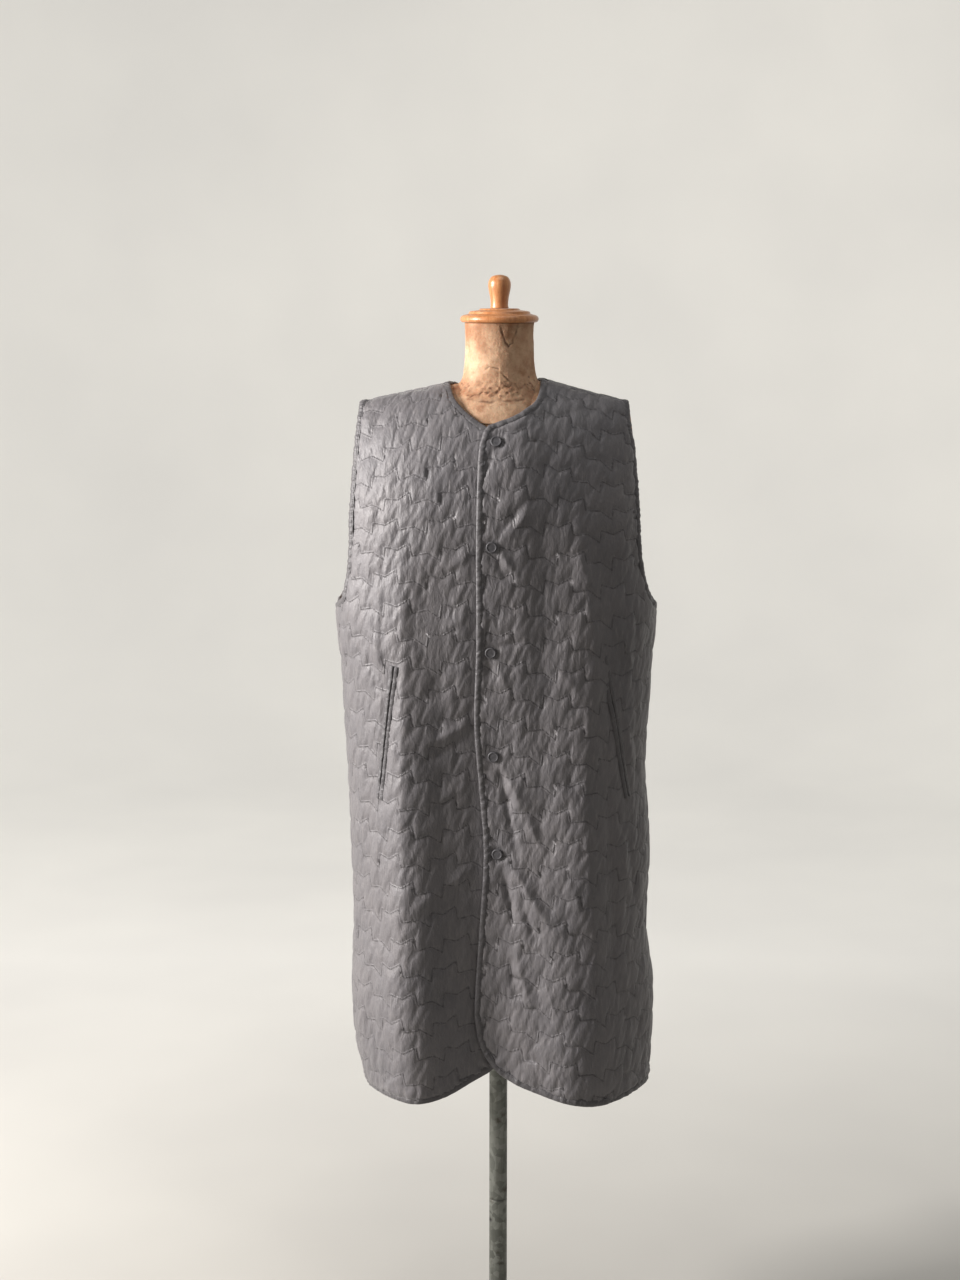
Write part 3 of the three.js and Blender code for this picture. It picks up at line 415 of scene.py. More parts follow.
class Wall:
    """The inner face of the vest's front or back, unrolled over a fine grid of s and v."""

    ROWS = 520
    TURNS = 721
    V_STEP = 2.0
    S_STEP = 1.5
    S_REACH = 330.0
    TRIED_ROW = 100

    def __init__(self, face):
        self.face = face
        self.out = -1.0 if face == "front" else 1.0
        closing = CLOSING[face]
        angle = np.linspace(0, np.pi / 2, 901)
        level = ROUNDING_Z + (RIDGE_Z - ROUNDING_Z) * np.cos(angle) ** (2 / closing)
        deep = column(face, level) * np.sin(angle) ** (2 / closing)
        down = np.concatenate([[0], np.cumsum(np.hypot(np.diff(deep), np.diff(level)))])
        self.line_v = np.append(down, down[-1] + level[-1])
        self.line_level = np.append(level, 0.0)

        v = np.arange(self.ROWS) * self.V_STEP
        level = np.interp(v, self.line_v, self.line_level)[:, None]
        turn = np.pi * (np.linspace(0, 1, self.TURNS) - 0.5)[None, :]
        x, y, z = ring(face, turn, level)
        run = np.cumsum(np.hypot(np.diff(x), np.diff(y)), axis=1)
        s = np.concatenate([np.zeros((len(v), 1)), run], axis=1)
        s -= s[:, [self.TURNS // 2]]
        point = np.stack([x, y, z], axis=-1)
        normal = np.cross(np.gradient(point, axis=0), np.gradient(point, axis=1))
        normal *= -self.out
        normal /= np.maximum(np.linalg.norm(normal, axis=-1, keepdims=True), 1e-9)
        if normal[self.TRIED_ROW, self.TURNS // 2, 1] * self.out < 0:
            normal = -normal

        self.seams = {"right": s[:, 0], "left": s[:, -1]}
        self.s_line = np.arange(-self.S_REACH, self.S_REACH + self.S_STEP, self.S_STEP)
        self.table = np.empty((len(v), len(self.s_line), 6))
        for i in range(len(v)):
            for k in range(3):
                self.table[i, :, k] = np.interp(self.s_line, s[i], point[i, :, k])
                self.table[i, :, 3 + k] = np.interp(self.s_line, s[i], normal[i, :, k])

    def look(self, s, v):
        i = np.clip(v / self.V_STEP, 0, self.ROWS - 1.001)
        j = np.clip((s + self.S_REACH) / self.S_STEP, 0, len(self.s_line) - 1.001)
        i0, j0 = i.astype(int), j.astype(int)
        a, b = (i - i0)[..., None], (j - j0)[..., None]
        t = self.table
        top = t[i0, j0] * (1 - b) + t[i0, j0 + 1] * b
        low = t[i0 + 1, j0] * (1 - b) + t[i0 + 1, j0 + 1] * b
        return top * (1 - a) + low * a

    def wrap(self, s, v, h):
        """Points in metres of places of the pattern at heights off the inner face."""
        s, v = np.asarray(s, float), np.asarray(v, float)
        found = self.look(s, v)
        normal = found[..., 3:] / np.linalg.norm(found[..., 3:], axis=-1, keepdims=True)
        at = found[..., :3] + normal * np.asarray(h, float)[..., None]
        at[..., 1] += self.out * SEAM_GAP / 2
        return at * MM

    def seam(self, side, v):
        return np.interp(v, np.arange(self.ROWS) * self.V_STEP, self.seams[side])

    def down_to(self, level):
        return float(np.interp(-level, -self.line_level, self.line_v))

    def across(self, x, v):
        """Place round the body, at a height of the pattern, of what a level view shows at x."""
        s = np.linspace(self.seam("right", v), self.seam("left", v), 400)
        return np.interp(x, self.look(s, np.full_like(s, v))[:, 0], s)

    def pattern(self, x, z):
        """Place in the pattern of what a level view shows at x and z."""
        level = z
        for _ in range(12):
            level = z + float(shoulder_drop(np.array(x, float)) * smooth(*SHOULDER_FADE, level))
        v = self.down_to(min(level, RIDGE_Z - 0.01))
        return np.array([self.across(x, v), v])


WALLS = {face: Wall(face) for face in ("front", "back")}
WALL_OF = {"front_left": "front", "front_right": "front", "back": "back"}
FRONT, BACK = WALLS["front"], WALLS["back"]
SNAP_PLACES = [FRONT.pattern(x, z) for x, z in SNAPS]


def smooth_line(points, step):
    """A Catmull-Rom line through points, in even steps."""
    points = np.array(points, float)
    padded = np.vstack([points[:1], points, points[-1:]])
    fine = []
    for i in range(len(points) - 1):
        p0, p1, p2, p3 = padded[i : i + 4]
        t = np.linspace(0, 1, 24, endpoint=False)[:, None]
        m1, m2 = (p2 - p0) / 2, (p3 - p1) / 2
        fine.append((2 * t**3 - 3 * t**2 + 1) * p1 + (t**3 - 2 * t**2 + t) * m1
                    + (3 * t**2 - 2 * t**3) * p2 + (t**3 - t**2) * m2)
    fine = np.vstack(fine + [points[-1:]])
    run = run_along(fine)
    count = max(2, round(run[-1] / step))
    wanted = run[-1] * np.linspace(0, 1, count + 1)
    return np.stack([np.interp(wanted, run, fine[:, k]) for k in range(2)], axis=1)


def front_edge(side):
    """The bound edge of a front in the pattern: neck, front edge, and hem as far as the side seam."""
    neck = [FRONT.pattern(x, z) for x, z in NECK[side]]
    neck[0][1] = 0
    edge = [FRONT.pattern(x, z) for x, z in EDGE[side]]
    low = FRONT.down_to(HEM_SIDE_Z)
    seam = FRONT.seam(side, low)
    edge += [np.array([(edge[-1][0] + seam) / 2, low]), np.array([seam, low])]
    return np.vstack([smooth_line(neck, TAPE_STEP), smooth_line(edge, TAPE_STEP)[1:]])


def armhole_edge(face, side):
    """The armhole's bound edge on the front or back, from the shoulder line to the side seam."""
    wall = WALLS[face]
    line = []
    for x, z in ARMHOLE[side]:
        drop = shoulder_drop(np.array(x, float)) * smooth(*SHOULDER_FADE, z)
        v = wall.down_to(min(z + float(drop), RIDGE_Z - 0.01))
        line.append([wall.across(x, v), v])
    line[0] = [ARMHOLE[side][0][0], 0.0]
    low = wall.down_to(UNDERARM_Z)
    line.append([wall.seam(side, low), low])
    return smooth_line(line, TAPE_STEP)


def back_neck_edge():
    angle = np.linspace(0, np.pi, 30)
    half = np.where(angle < np.pi / 2, BACK_NECK["left"], BACK_NECK["right"])
    line = np.stack([half * np.cos(angle), BACK_NECK["depth"] * np.sin(angle) ** BACK_NECK["power"]], axis=1)
    line[-1, 1] = 0
    return smooth_line(line, TAPE_STEP)


def back_hem_edge():
    low = BACK.down_to(BACK_HEM_Z)
    return smooth_line([[BACK.seam("left", low), low], [0, low], [BACK.seam("right", low), low]], TAPE_STEP)


def beside(line, distance, start=None, end=None):
    """A line moved to its left in (s, v) with v down. start and end give the directions at its ends."""
    along = np.gradient(line, axis=0)
    if start is not None:
        along[0] = start
    if end is not None:
        along[-1] = end
    along /= np.linalg.norm(along, axis=1, keepdims=True)
    return line + distance * np.stack([-along[:, 1], along[:, 0]], axis=1)


CREASE_LINES = {
    face: [
        (wall.pattern(x0, z0), wall.pattern(x1, z1), wide, high)
        for x0, z0, x1, z1, wide, high in CREASES[face]
    ]
    for face, wall in WALLS.items()
}


def drape(face, s, v):
    """How far the cloth's folds stand off its plain form: both of its faces, and its outer face alone."""
    wall = WALLS[face]
    s, v = np.asarray(s, float), np.asarray(v, float)
    height = DRAPE["high"] * noise(s, 0.6 * v, DRAPE["size"], 91)
    height = height + DRAPE["fine_high"] * noise(s + 0.3 * v, 0.5 * v, DRAPE["fine"], 92)
    for start, end, wide, high in CREASE_LINES[face]:
        run = end - start
        t = ((s - start[0]) * run[0] + (v - start[1]) * run[1]) / (run @ run)
        across = ((s - start[0]) * run[1] - (v - start[1]) * run[0]) / np.hypot(*run)
        across = across + CREASE_WANDER["high"] * noise(s, v, CREASE_WANDER["size"], 93)
        ends = np.clip(np.sin(np.pi * np.clip(t, 0, 1)), 0, 1) ** CREASE_TAPER
        height = height + high * ends * np.exp(-np.abs(across / wide) ** 1.5)
    x = wall.look(s, v)[..., 0]
    wrinkle = smooth(SIDE_WRINKLE["from"], SIDE_WRINKLE["to"], np.abs(x))
    stretched = noise(s * SIDE_WRINKLE["tall"] / SIDE_WRINKLE["wide"], v, SIDE_WRINKLE["tall"], 94)
    height = height + SIDE_WRINKLE["high"] * wrinkle * stretched
    for at in SNAP_PLACES if face == "front" else ():
        height = height * smooth(*CREASES_OFF["snap"], np.hypot(s - at[0], v - at[1]))
    seam = np.minimum(s - wall.seam("right", v), wall.seam("left", v) - s)
    height = height * smooth(*CREASES_OFF["seam"], seam) * smooth(*CREASES_OFF["top"], v)
    level = np.interp(v, wall.line_v, wall.line_level)
    rise = smooth(FORM_CLEAR["waist"], FORM_CLEAR["chest"], level)
    allowed = mix(FORM_CLEAR["waist_in"], FORM_CLEAR["chest_in"], rise)
    return np.maximum(height, -allowed), height


def from_line(s, v, line):
    """Distance of each place from a line, and how far along the line its nearest point is."""
    at = np.stack([s.ravel(), v.ravel()], axis=1)
    a, b = line[:-1], line[1:]
    ab = b - a
    length = np.linalg.norm(ab, axis=1)
    run = np.concatenate([[0], np.cumsum(length)])[:-1]
    distance, along = np.empty(len(at)), np.empty(len(at))
    for k in range(0, len(at), BATCH):
        part = at[k : k + BATCH, None, :]
        t = np.clip(((part - a) * ab).sum(-1) / np.maximum(length**2, 1e-9), 0, 1)
        gap = np.linalg.norm(part - (a + ab * t[..., None]), axis=-1)
        best = gap.argmin(axis=1)
        rows = np.arange(len(best))
        distance[k : k + BATCH] = gap[rows, best]
        along[k : k + BATCH] = run[best] + t[rows, best] * length[best]
    return distance.reshape(s.shape), along.reshape(s.shape)


def inside(s, v, outline):
    """Whether each place lies inside a closed outline."""
    found = np.zeros(s.shape, bool)
    a = outline
    b = np.roll(outline, -1, axis=0)
    for (s0, v0), (s1, v1) in zip(a, b):
        if v0 == v1:
            continue
        crosses = (v0 > v) != (v1 > v)
        found ^= crosses & (s < s0 + (v - v0) * (s1 - s0) / (v1 - v0))
    return found


def noise(s, v, size, seed):
    """Smooth seeded noise from -1 to 1, with features of a size in millimetres."""
    values = np.random.default_rng(seed).uniform(-1, 1, (NOISE_GRID, NOISE_GRID))
    i, j = np.asarray(s) / size, np.asarray(v) / size
    i0, j0 = np.floor(i).astype(int), np.floor(j).astype(int)
    a, b = i - i0, j - j0
    a, b = a * a * (3 - 2 * a), b * b * (3 - 2 * b)
    near_i, far_i = i0 % NOISE_GRID, (i0 + 1) % NOISE_GRID
    near_j, far_j = j0 % NOISE_GRID, (j0 + 1) % NOISE_GRID
    top = mix(values[near_i, near_j], values[far_i, near_j], a)
    low = mix(values[near_i, far_j], values[far_i, far_j], a)
    return mix(top, low, b)


def row_line(row, s, tilt):
    """How far down a stitched row lies at a place round the body."""
    shift = ROW_SHIFT if row % 2 else 0.0
    along = np.mod(s - shift, REPEAT)
    zigzag = np.interp(along, [p[0] for p in MOTIF], [p[1] for p in MOTIF])
    return row * ROW_PITCH + zigzag + (tilt[0] + tilt[1] * row * ROW_PITCH) * s


def stitch_lines(tilt, low, high, top, bottom):
    """The corners of every stitched row over a rectangle of the pattern."""
    lines = []
    first = int(top // ROW_PITCH) - 3
    last = int(bottom // ROW_PITCH) + 3
    for row in range(first, last + 1):
        shift = ROW_SHIFT if row % 2 else 0.0
        corners = []
        for k in range(int((low - shift) // REPEAT) - 1, int((high - shift) // REPEAT) + 2):
            corners += [k * REPEAT + shift + p[0] for p in MOTIF[:-1]]
        corners = np.array(corners)
        line = np.stack([corners, row_line(row, corners, tilt)], axis=1)
        lines.append(line)
    return lines


def mesh_from(name, points, faces, attributes=None):
    mesh = bpy.data.meshes.new(name)
    points = np.asarray(points, np.float32)
    faces = np.asarray(faces, np.int32)
    size = faces.shape[1]
    mesh.vertices.add(len(points))
    mesh.vertices.foreach_set("co", points.ravel())
    mesh.loops.add(faces.size)
    mesh.loops.foreach_set("vertex_index", faces.ravel())
    mesh.polygons.add(len(faces))
    mesh.polygons.foreach_set("loop_start", np.arange(0, faces.size, size, dtype=np.int32))
    mesh.polygons.foreach_set("use_smooth", np.ones(len(faces), bool))
    mesh.update(calc_edges=True)
    mesh.validate()
    for key, values in (attributes or {}).items():
        values = np.asarray(values, np.float32)
        kind = "FLOAT" if values.ndim == 1 else "FLOAT_VECTOR"
        field = mesh.attributes.new(key, kind, "POINT")
        field.data.foreach_set("value" if kind == "FLOAT" else "vector", values.ravel())
    return mesh


def placed(name, data):
    """A new object of the scene."""
    made = bpy.data.objects.new(name, data)
    bpy.context.scene.collection.objects.link(made)
    return made


def add_piece(name, mesh, replaces, material):
    """Put a mesh in the scene as a piece of the visual model."""
    piece = placed(name, mesh)
    mesh.materials.append(material)
    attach(piece, "root")
    if replaces:
        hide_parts(*replaces)
    return piece


def grid_faces(rows, columns, keep=None):
    """Quads of a grid of points, and only those that are kept."""
    index = np.arange(rows * columns).reshape(rows, columns)
    faces = np.stack([index[:-1, :-1], index[:-1, 1:], index[1:, 1:], index[1:, :-1]], axis=-1).reshape(-1, 4)
    if keep is not None:
        faces = faces[keep.reshape(-1)[faces].all(axis=1)]
    return faces


def shell(faces, count):
    """Faces of a closed shell from an outer sheet and an inner one with the same points, and its rim."""
    directed = np.concatenate([faces[:, [k, (k + 1) % 4]] for k in range(4)])
    code = directed[:, 0].astype(np.int64) * count + directed[:, 1]
    back = directed[:, 1].astype(np.int64) * count + directed[:, 0]
    rim = directed[~np.isin(code, back)]
    walls = np.stack([rim[:, 1], rim[:, 0], rim[:, 0] + count, rim[:, 1] + count], axis=1)
    return np.concatenate([faces, faces[:, ::-1] + count, walls])


def compact(points, faces, attributes):
    used = np.unique(faces)
    renumber = np.full(len(points), -1)
    renumber[used] = np.arange(len(used))
    return points[used], renumber[faces], {key: values[used] for key, values in attributes.items()}


def lap_lift(s):
    """How far the left front stands off, to lie on the right one."""
    return LAP_LIFT * (1 - smooth(*LAP_FLAT, s))


def no_lift(s):
    return np.zeros_like(s)


def edge_distance(s, v, bound):
    """Distance of each place from the nearest bound edge, and how far along that edge it is."""
    gap, run = np.full(s.shape, 1e9), np.zeros(s.shape)
    for line in bound:
        found, along = from_line(s, v, line[::5])
        run = np.where(found < gap, along, run)
        gap = np.minimum(gap, found)
    return gap, run


def nearest_stitch(s, v, tilt, bottom):
    """Distance of each place from the nearest stitched row, and the nearest point on that row."""
    flat_s, flat_v = s.ravel(), v.ravel()
    gap = np.full(flat_s.shape, 1e9)
    nearest = np.stack([flat_s, flat_v], axis=-1)
    for line in stitch_lines(tilt, s.min(), s.max(), 0, bottom):
        above = flat_v > line[:, 1].min() - ROW_REACH
        below = flat_v < line[:, 1].max() + ROW_REACH
        near = np.flatnonzero(above & below)
        found, run = from_line(flat_s[near], flat_v[near], line)
        length = run_along(line)
        better = found < gap[near]
        near, run = near[better], run[better]
        gap[near] = found[better]
        for k in range(2):
            nearest[near, k] = np.interp(run, length, line[:, k])
    return gap.reshape(s.shape), nearest.reshape(*s.shape, 2)


def gathered(name, s, v, faces, stitch_gap, stitched, edge_gap, seam_gap):
    """Cloth simulation of a panel laid flat: where each place comes to lie, as s, v and height."""
    step = CLOTH_STEP[WALL_OF[name]]
    sewn = stitch_gap < PINNED["stitch"] * step
    place = np.stack([s, v], axis=-1)
    place[sewn] = stitched[sewn]
    pinned = sewn | (edge_gap < PINNED["edge"]) | (seam_gap < 0.5) | (v < 0.5)
    if name == "front_left":
        for at in SNAP_PLACES:
            pinned |= np.hypot(s - at[0], v - at[1]) < PINNED["snap"]
    slanted, tall = s + PUCKER["slant"] * v, v / PUCKER["tall"]
    ripple = 0.7 * noise(slanted, tall, PUCKER["wide"], 5) + 0.3 * noise(slanted, tall, PUCKER["fine"], 6)
    start = PUCKER["puff"] * (1 - np.exp(-stitch_gap / PUCKER["reach"]))
    start += PUCKER["ripple"] * ripple * (1 - np.exp(-stitch_gap / PUCKER["ripple_reach"]))
    points = np.concatenate([place, np.where(pinned, 0.0, start)[..., None]], axis=-1).reshape(-1, 3)
    used, used_faces, used_fields = compact(points, faces, {"pinned": pinned.ravel()})
    middle = np.array([*used[:, :2].mean(axis=0), 0.0])
    sewn_at = (used - middle) * SIM["scale"] * MM
    across = np.array([math.cos(math.radians(SIM["slant"])), math.sin(math.radians(SIM["slant"])), 0.0])
    growth = np.eye(3) + SIM["grown"] * np.outer(across, across) + np.diag([0.0, SIM["grown_down"], 0.0])
    mesh = mesh_from(name + "_gathering", sewn_at @ growth, used_faces)
    cloth = placed(name + "_gathering", mesh)
    group = cloth.vertex_groups.new(name="pinned")
    group.add(np.flatnonzero(used_fields["pinned"]).tolist(), 1.0, "REPLACE")
    cloth.shape_key_add(name="cut")
    key = cloth.shape_key_add(name="sewn")
    key.data.foreach_set("co", sewn_at.astype(np.float32).ravel())
    for number, value in ((1, 0.0), (SIM["gather"], 1.0)):
        key.value = value
        key.keyframe_insert("value", frame=number)
    modifier = cloth.modifiers.new("cloth", "CLOTH")
    settings = modifier.settings
    settings.quality = SIM["quality"]
    settings.mass = SIM["mass"]
    settings.air_damping = 1.0
    settings.tension_stiffness = settings.compression_stiffness = SIM["tension"]
    settings.shear_stiffness = SIM["tension"] / 2
    settings.bending_model = "ANGULAR"
    settings.bending_stiffness = SIM["bend"]
    settings.tension_damping = settings.compression_damping = settings.shear_damping = SIM["damping"]
    settings.vertex_group_mass = "pinned"
    settings.effector_weights.gravity = -SIM["push"]
    modifier.collision_settings.use_collision = False
    modifier.point_cache.frame_start = 1
    modifier.point_cache.frame_end = SIM["frames"]
    scene = bpy.context.scene
    scene.frame_start, scene.frame_end = 1, SIM["frames"]
    for number in range(1, SIM["frames"] + 1):
        scene.frame_set(number)
    result = cloth.evaluated_get(bpy.context.evaluated_depsgraph_get()).to_mesh()
    found = np.empty(len(used) * 3, np.float32)
    result.vertices.foreach_get("co", found)
    bpy.data.objects.remove(cloth)
    scene.frame_set(1)
    moved = points.copy()
    moved[np.unique(faces)] = found.reshape(-1, 3) / (SIM["scale"] * MM) + middle
    return moved.reshape(*s.shape, 3)


def edge_gathers(edge_gap, edge_run, v, wall):
    """Small ripples of the cloth where the edge tape gathers it."""
    level = np.interp(v, wall.line_v, wall.line_level)
    share = mix(GATHERS["upper"], 1.0, 1 - smooth(GATHERS["hem_to"], GATHERS["hem_from"], level))
    near = 1 - smooth(GATHERS["from"], GATHERS["to"], edge_gap)
    tall = edge_gap / 3
    ripple = 0.7 * noise(edge_run, tall, GATHERS["wide"], 81)
    ripple = ripple + 0.3 * noise(edge_run, tall, GATHERS["fine"], 82)
    return GATHERS["high"] * share * near * ripple


def panel_grid(face, sides, low_s, high_s, bottom):
    """Places of a panel's grid, with its outer columns on the side seams."""
    wall = WALLS[face]
    step = CLOTH_STEP[face]
    rows = int(bottom / step) + 1
    v = np.linspace(0, bottom, rows)
    left = wall.seam("left", v) if "left" in sides else np.full(rows, high_s)
    right = wall.seam("right", v) if "right" in sides else np.full(rows, low_s)
    columns = int((left - right).max() / step) + 1
    across = np.linspace(0, 1, columns)[None, :]
    s = right[:, None] + (left - right)[:, None] * across
    return s, np.repeat(v[:, None], columns, axis=1)


def build_panel(name, face, sides, outline, bound, low_s, high_s, bottom, lift, material, press):
    """One quilted panel: a closed thin shell with the relief of its quilting on the outside."""
    wall = WALLS[face]
    tilt = TILT[name]
    s, v = panel_grid(face, sides, low_s, high_s, bottom)
    keep = inside(s, v, outline)
    edge_gap, edge_run = edge_distance(s, v, bound)
    stitch_gap, stitched = nearest_stitch(s, v, tilt, bottom)
    seam_gap = np.minimum(s - wall.seam("right", v), wall.seam("left", v) - s)
    faces = grid_faces(*s.shape, keep)
    moved = gathered(name, s, v, faces, stitch_gap, stitched, edge_gap, seam_gap)
    free = smooth(*HELD["edge"], edge_gap) * smooth(*HELD["seam"], seam_gap) * smooth(*HELD["top"], v)
    held = mix(HELD["least"], 1.0, free) * press(s, v)
    puffed = np.where(moved[..., 2] > 0, PUFF_SOFT * (1 - np.exp(-moved[..., 2] / PUFF_SOFT)), moved[..., 2])
    relief = puffed * held + edge_gathers(edge_gap, edge_run, v, wall)
    out_s = s + (moved[..., 0] - s) * held
    out_v = v + (moved[..., 1] - v) * held
    both, outside = drape(face, s, v)
    lifted = lift(s)
    height = np.maximum(STITCHED + relief + outside, INNER_FACE + both + THINNEST)
    outer = wall.wrap(out_s, out_v, height + lifted).reshape(-1, 3)
    inner = wall.wrap(s, v, INNER_FACE + both + lifted).reshape(-1, 3)
    # The relief also goes to the material, which lightens high places as a painted highlight
    pattern = np.stack([s.ravel(), v.ravel(), relief.ravel()], axis=1) * MM
    fields = {"pattern": np.vstack([pattern, pattern]), "stitch": np.tile(stitch_gap.ravel(), 2)}
    points, faces, fields = compact(np.vstack([outer, inner]), shell(faces, len(outer)), fields)
    mesh = mesh_from(name + "_cloth", points, faces, fields)
    stitches(name, face, s.min(), s.max(), outline, bound, bottom, lift)
    return add_piece(name + "_cloth", mesh, [name], material)


def press_front_left(s, v):
    press = press_pockets(s, v)
    for at in SNAP_PLACES:
        press *= smooth(*PRESSED["snap"], np.hypot(s - at[0], v - at[1]))
    return press


def press_front_right(s, v):
    under = smooth(LAP_PRESSED["from"], LAP_PRESSED["to"], s)
    return press_pockets(s, v) * mix(1.0, LAP_PRESSED["share"], under)


def press_pockets(s, v):
    return mix(PRESSED["pocket_least"], 1.0, smooth(*PRESSED["pocket"], pocket_gap(s, v)))


def front_panel(side, material):
    sign = -1 if side == "right" else 1
    edge = front_edge(side)
    arm = armhole_edge("front", side)
    inner_edge = beside(edge, -sign * CLOTH_UNDER_TAPE, start=DOWN, end=(sign, 0))
    inner_arm = beside(arm, sign * CLOTH_UNDER_TAPE, start=DOWN, end=(sign, 0))
    top = [[inner_edge[0][0], -FAR], [inner_arm[0][0], -FAR]]
    outside = [[sign * FAR, inner_arm[-1][1]], [sign * FAR, inner_edge[-1][1]]]
    outline = np.vstack([top, inner_arm, outside, inner_edge[::-1]])
    lift = lap_lift if side == "left" else no_lift
    press = press_front_left if side == "left" else press_front_right
    low_s, high_s = (edge[:, 0].min(), 0) if side == "left" else (0, edge[:, 0].max())
    return build_panel("front_" + side, "front", [side], outline, [edge, arm], low_s, high_s,
                       edge[:, 1].max(), lift, material, press)


def back_panel(material):
    neck, hem = back_neck_edge(), back_hem_edge()
    arms = {side: armhole_edge("back", side) for side in ("right", "left")}
    inner_neck = beside(neck, -CLOTH_UNDER_TAPE, start=DOWN, end=(0, -1))
    inner_hem = beside(hem, CLOTH_UNDER_TAPE)
    inner_arm = {
        side: beside(arms[side], sign * CLOTH_UNDER_TAPE, start=DOWN, end=(sign, 0))
        for side, sign in (("right", -1), ("left", 1))
    }
    outline = np.vstack([
        [[inner_neck[0][0], -FAR]], inner_neck, [[inner_neck[-1][0], -FAR], [inner_arm["right"][0][0], -FAR]],
        inner_arm["right"], [[-FAR, inner_arm["right"][-1][1]], [-FAR, inner_hem[0][1]]],
        [[FAR, inner_hem[0][1]], [FAR, inner_arm["left"][-1][1]]], inner_arm["left"][::-1],
        [[inner_arm["left"][0][0], -FAR]],
    ])
    return build_panel("back", "back", ["left", "right"], outline, [neck, hem, *arms.values()], 0, 0,
                       hem[:, 1].max(), no_lift, material, lambda s, v: np.ones(s.shape))


# Section of a bound edge: in from the edge and up from the inner face
TAPE = [(0.4, -0.35), (4.5, -0.5), (9.3, -0.45), (9.7, 0.6), (9.75, 1.7), (9.3, 2.4), (8.7, 2.55), (8.2, 2.3),
        (7.6, 2.85), (6.2, 3.4), (4.4, 3.6), (2.3, 3.5), (0.8, 2.9), (-0.1, 1.8), (-0.2, 0.6)]
HIDDEN_TAPE = 0.72


def tape_mesh(name, parts, closed=False, share=1.0, seed=1, section=TAPE):
    """A bound edge swept along lines of the pattern. parts: wall, line, way across, end directions, lift."""
    loops, fields = [], []
    for face, line, way, start, end, lift, run in parts:
        along = np.gradient(line, axis=0)
        along[0] = start
        along[-1] = end
        along /= np.linalg.norm(along, axis=1, keepdims=True)
        across = way * np.stack([-along[:, 1], along[:, 0]], axis=1)
        far = run + run_along(line)
        folds, _ = drape(face, line[:, 0], line[:, 1])
        (pinch_high, pinch_size), (fine_high, fine_size) = TAPE_NOISE["pinch"], TAPE_NOISE["fine_pinch"]
        (ripple_high, ripple_size), (reach_high, reach_size) = TAPE_NOISE["ripple"], TAPE_NOISE["reach"]
        pinch = 1 + pinch_high * noise(far, 0 * far, pinch_size, seed)
        pinch = pinch + fine_high * noise(far, 0 * far, fine_size, seed + 1)
        rings = []
        for into, up in section:
            ripple = ripple_high * noise(far + 0.8 * into, 0 * far + 0.5 * into, ripple_size, seed + 2)
            reach = into + (reach_high * noise(far, 0 * far, reach_size, seed + 3) if into > 3 else 0)
            height = up * share * pinch + ripple * (up > 2) if up > 0 else np.full(len(far), up)
            place = line + across * np.asarray(reach)[..., None] if np.ndim(reach) else line + across * reach
            rings.append(WALLS[face].wrap(place[:, 0], place[:, 1], height + lift(place[:, 0]) + folds))
            # The height in the section also goes to the material, which lightens high places as a painted
            # highlight
            fields.append(np.stack([far, np.full(len(far), into), np.full(len(far), up)], axis=1) * MM)
        loops.append(np.stack(rings, axis=1))
    points = np.concatenate(loops)
    count, size = points.shape[:2]
    pattern = np.concatenate([np.stack(fields[k * size : (k + 1) * size], axis=1) for k in range(len(parts))])
    index = np.arange(count * size).reshape(count, size)
    rolled = np.roll(index, -1, axis=1)
    if closed:
        following, beyond = np.roll(index, -1, axis=0), np.roll(rolled, -1, axis=0)
        faces = np.stack([index, following, beyond, rolled], axis=-1).reshape(-1, 4)
    else:
        faces = np.stack([index[:-1], index[1:], rolled[1:], rolled[:-1]], axis=-1).reshape(-1, 4)
    mesh = mesh_from(name, points.reshape(-1, 3), faces, {"pattern": pattern.reshape(-1, 3)})
    if not closed:
        cap_ends(mesh, index[0], index[-1])
    fix_normals(mesh)
    return mesh


def cap_ends(mesh, first, last):
    work = bmesh.new()
    work.from_mesh(mesh)
    work.verts.ensure_lookup_table()
    for ring in (first, last):
        work.faces.new([work.verts[i] for i in ring])
    work.to_mesh(mesh)
    work.free()


def fix_normals(mesh):
    work = bmesh.new()
    work.from_mesh(mesh)
    bmesh.ops.recalc_face_normals(work, faces=work.faces)
    work.to_mesh(mesh)
    work.free()


def front_binding(side, material):
    sign = -1 if side == "right" else 1
    lift = lap_lift if side == "left" else no_lift
    share = 1.0 if side == "left" else HIDDEN_TAPE
    part = ("front", front_edge(side), -sign, DOWN, (sign, 0), lift, 0.0)
    node = "binding_front_" + side
    mesh = tape_mesh(node + "_tape", [part], share=share, seed=21 if side == "left" else 31)
    return add_piece(node + "_tape", mesh, [node], material)


def back_bindings(material):
    neck = [("back", back_neck_edge(), -1, DOWN, (0, -1), no_lift, 0.0)]
    hem = [("back", back_hem_edge(), 1, (-1, 0), (-1, 0), no_lift, 0.0)]
    for node, parts, seed in (("binding_back_neck", neck, 41), ("binding_back_hem", hem, 51)):
        mesh = tape_mesh(node + "_tape", parts, seed=seed)
        add_piece(node + "_tape", mesh, [node], material)


def armhole_binding(side, material):
    sign = -1 if side == "right" else 1
    front = armhole_edge("front", side)[:-1]
    back = armhole_edge("back", side)[::-1][:-1]
    length = np.linalg.norm(np.diff(front, axis=0), axis=1).sum() + TAPE_STEP
    parts = [
        ("front", front, sign, DOWN, front[-1] - front[-2], no_lift, 0.0),
        ("back", back, -sign, (-sign, 0), back[-1] - back[-2], no_lift, length),
    ]
    node = "binding_armhole_" + side
    mesh = tape_mesh(node + "_tape", parts, closed=True, seed=61 if side == "left" else 71)
    return add_piece(node + "_tape", mesh, [node], material)


def linear(r, g, b):
    """A colour from its 0 to 255 screen values."""
    return tuple((c / 255 / 12.92) if c <= 10 else ((c / 255 + 0.055) / 1.055) ** 2.4 for c in (r, g, b))


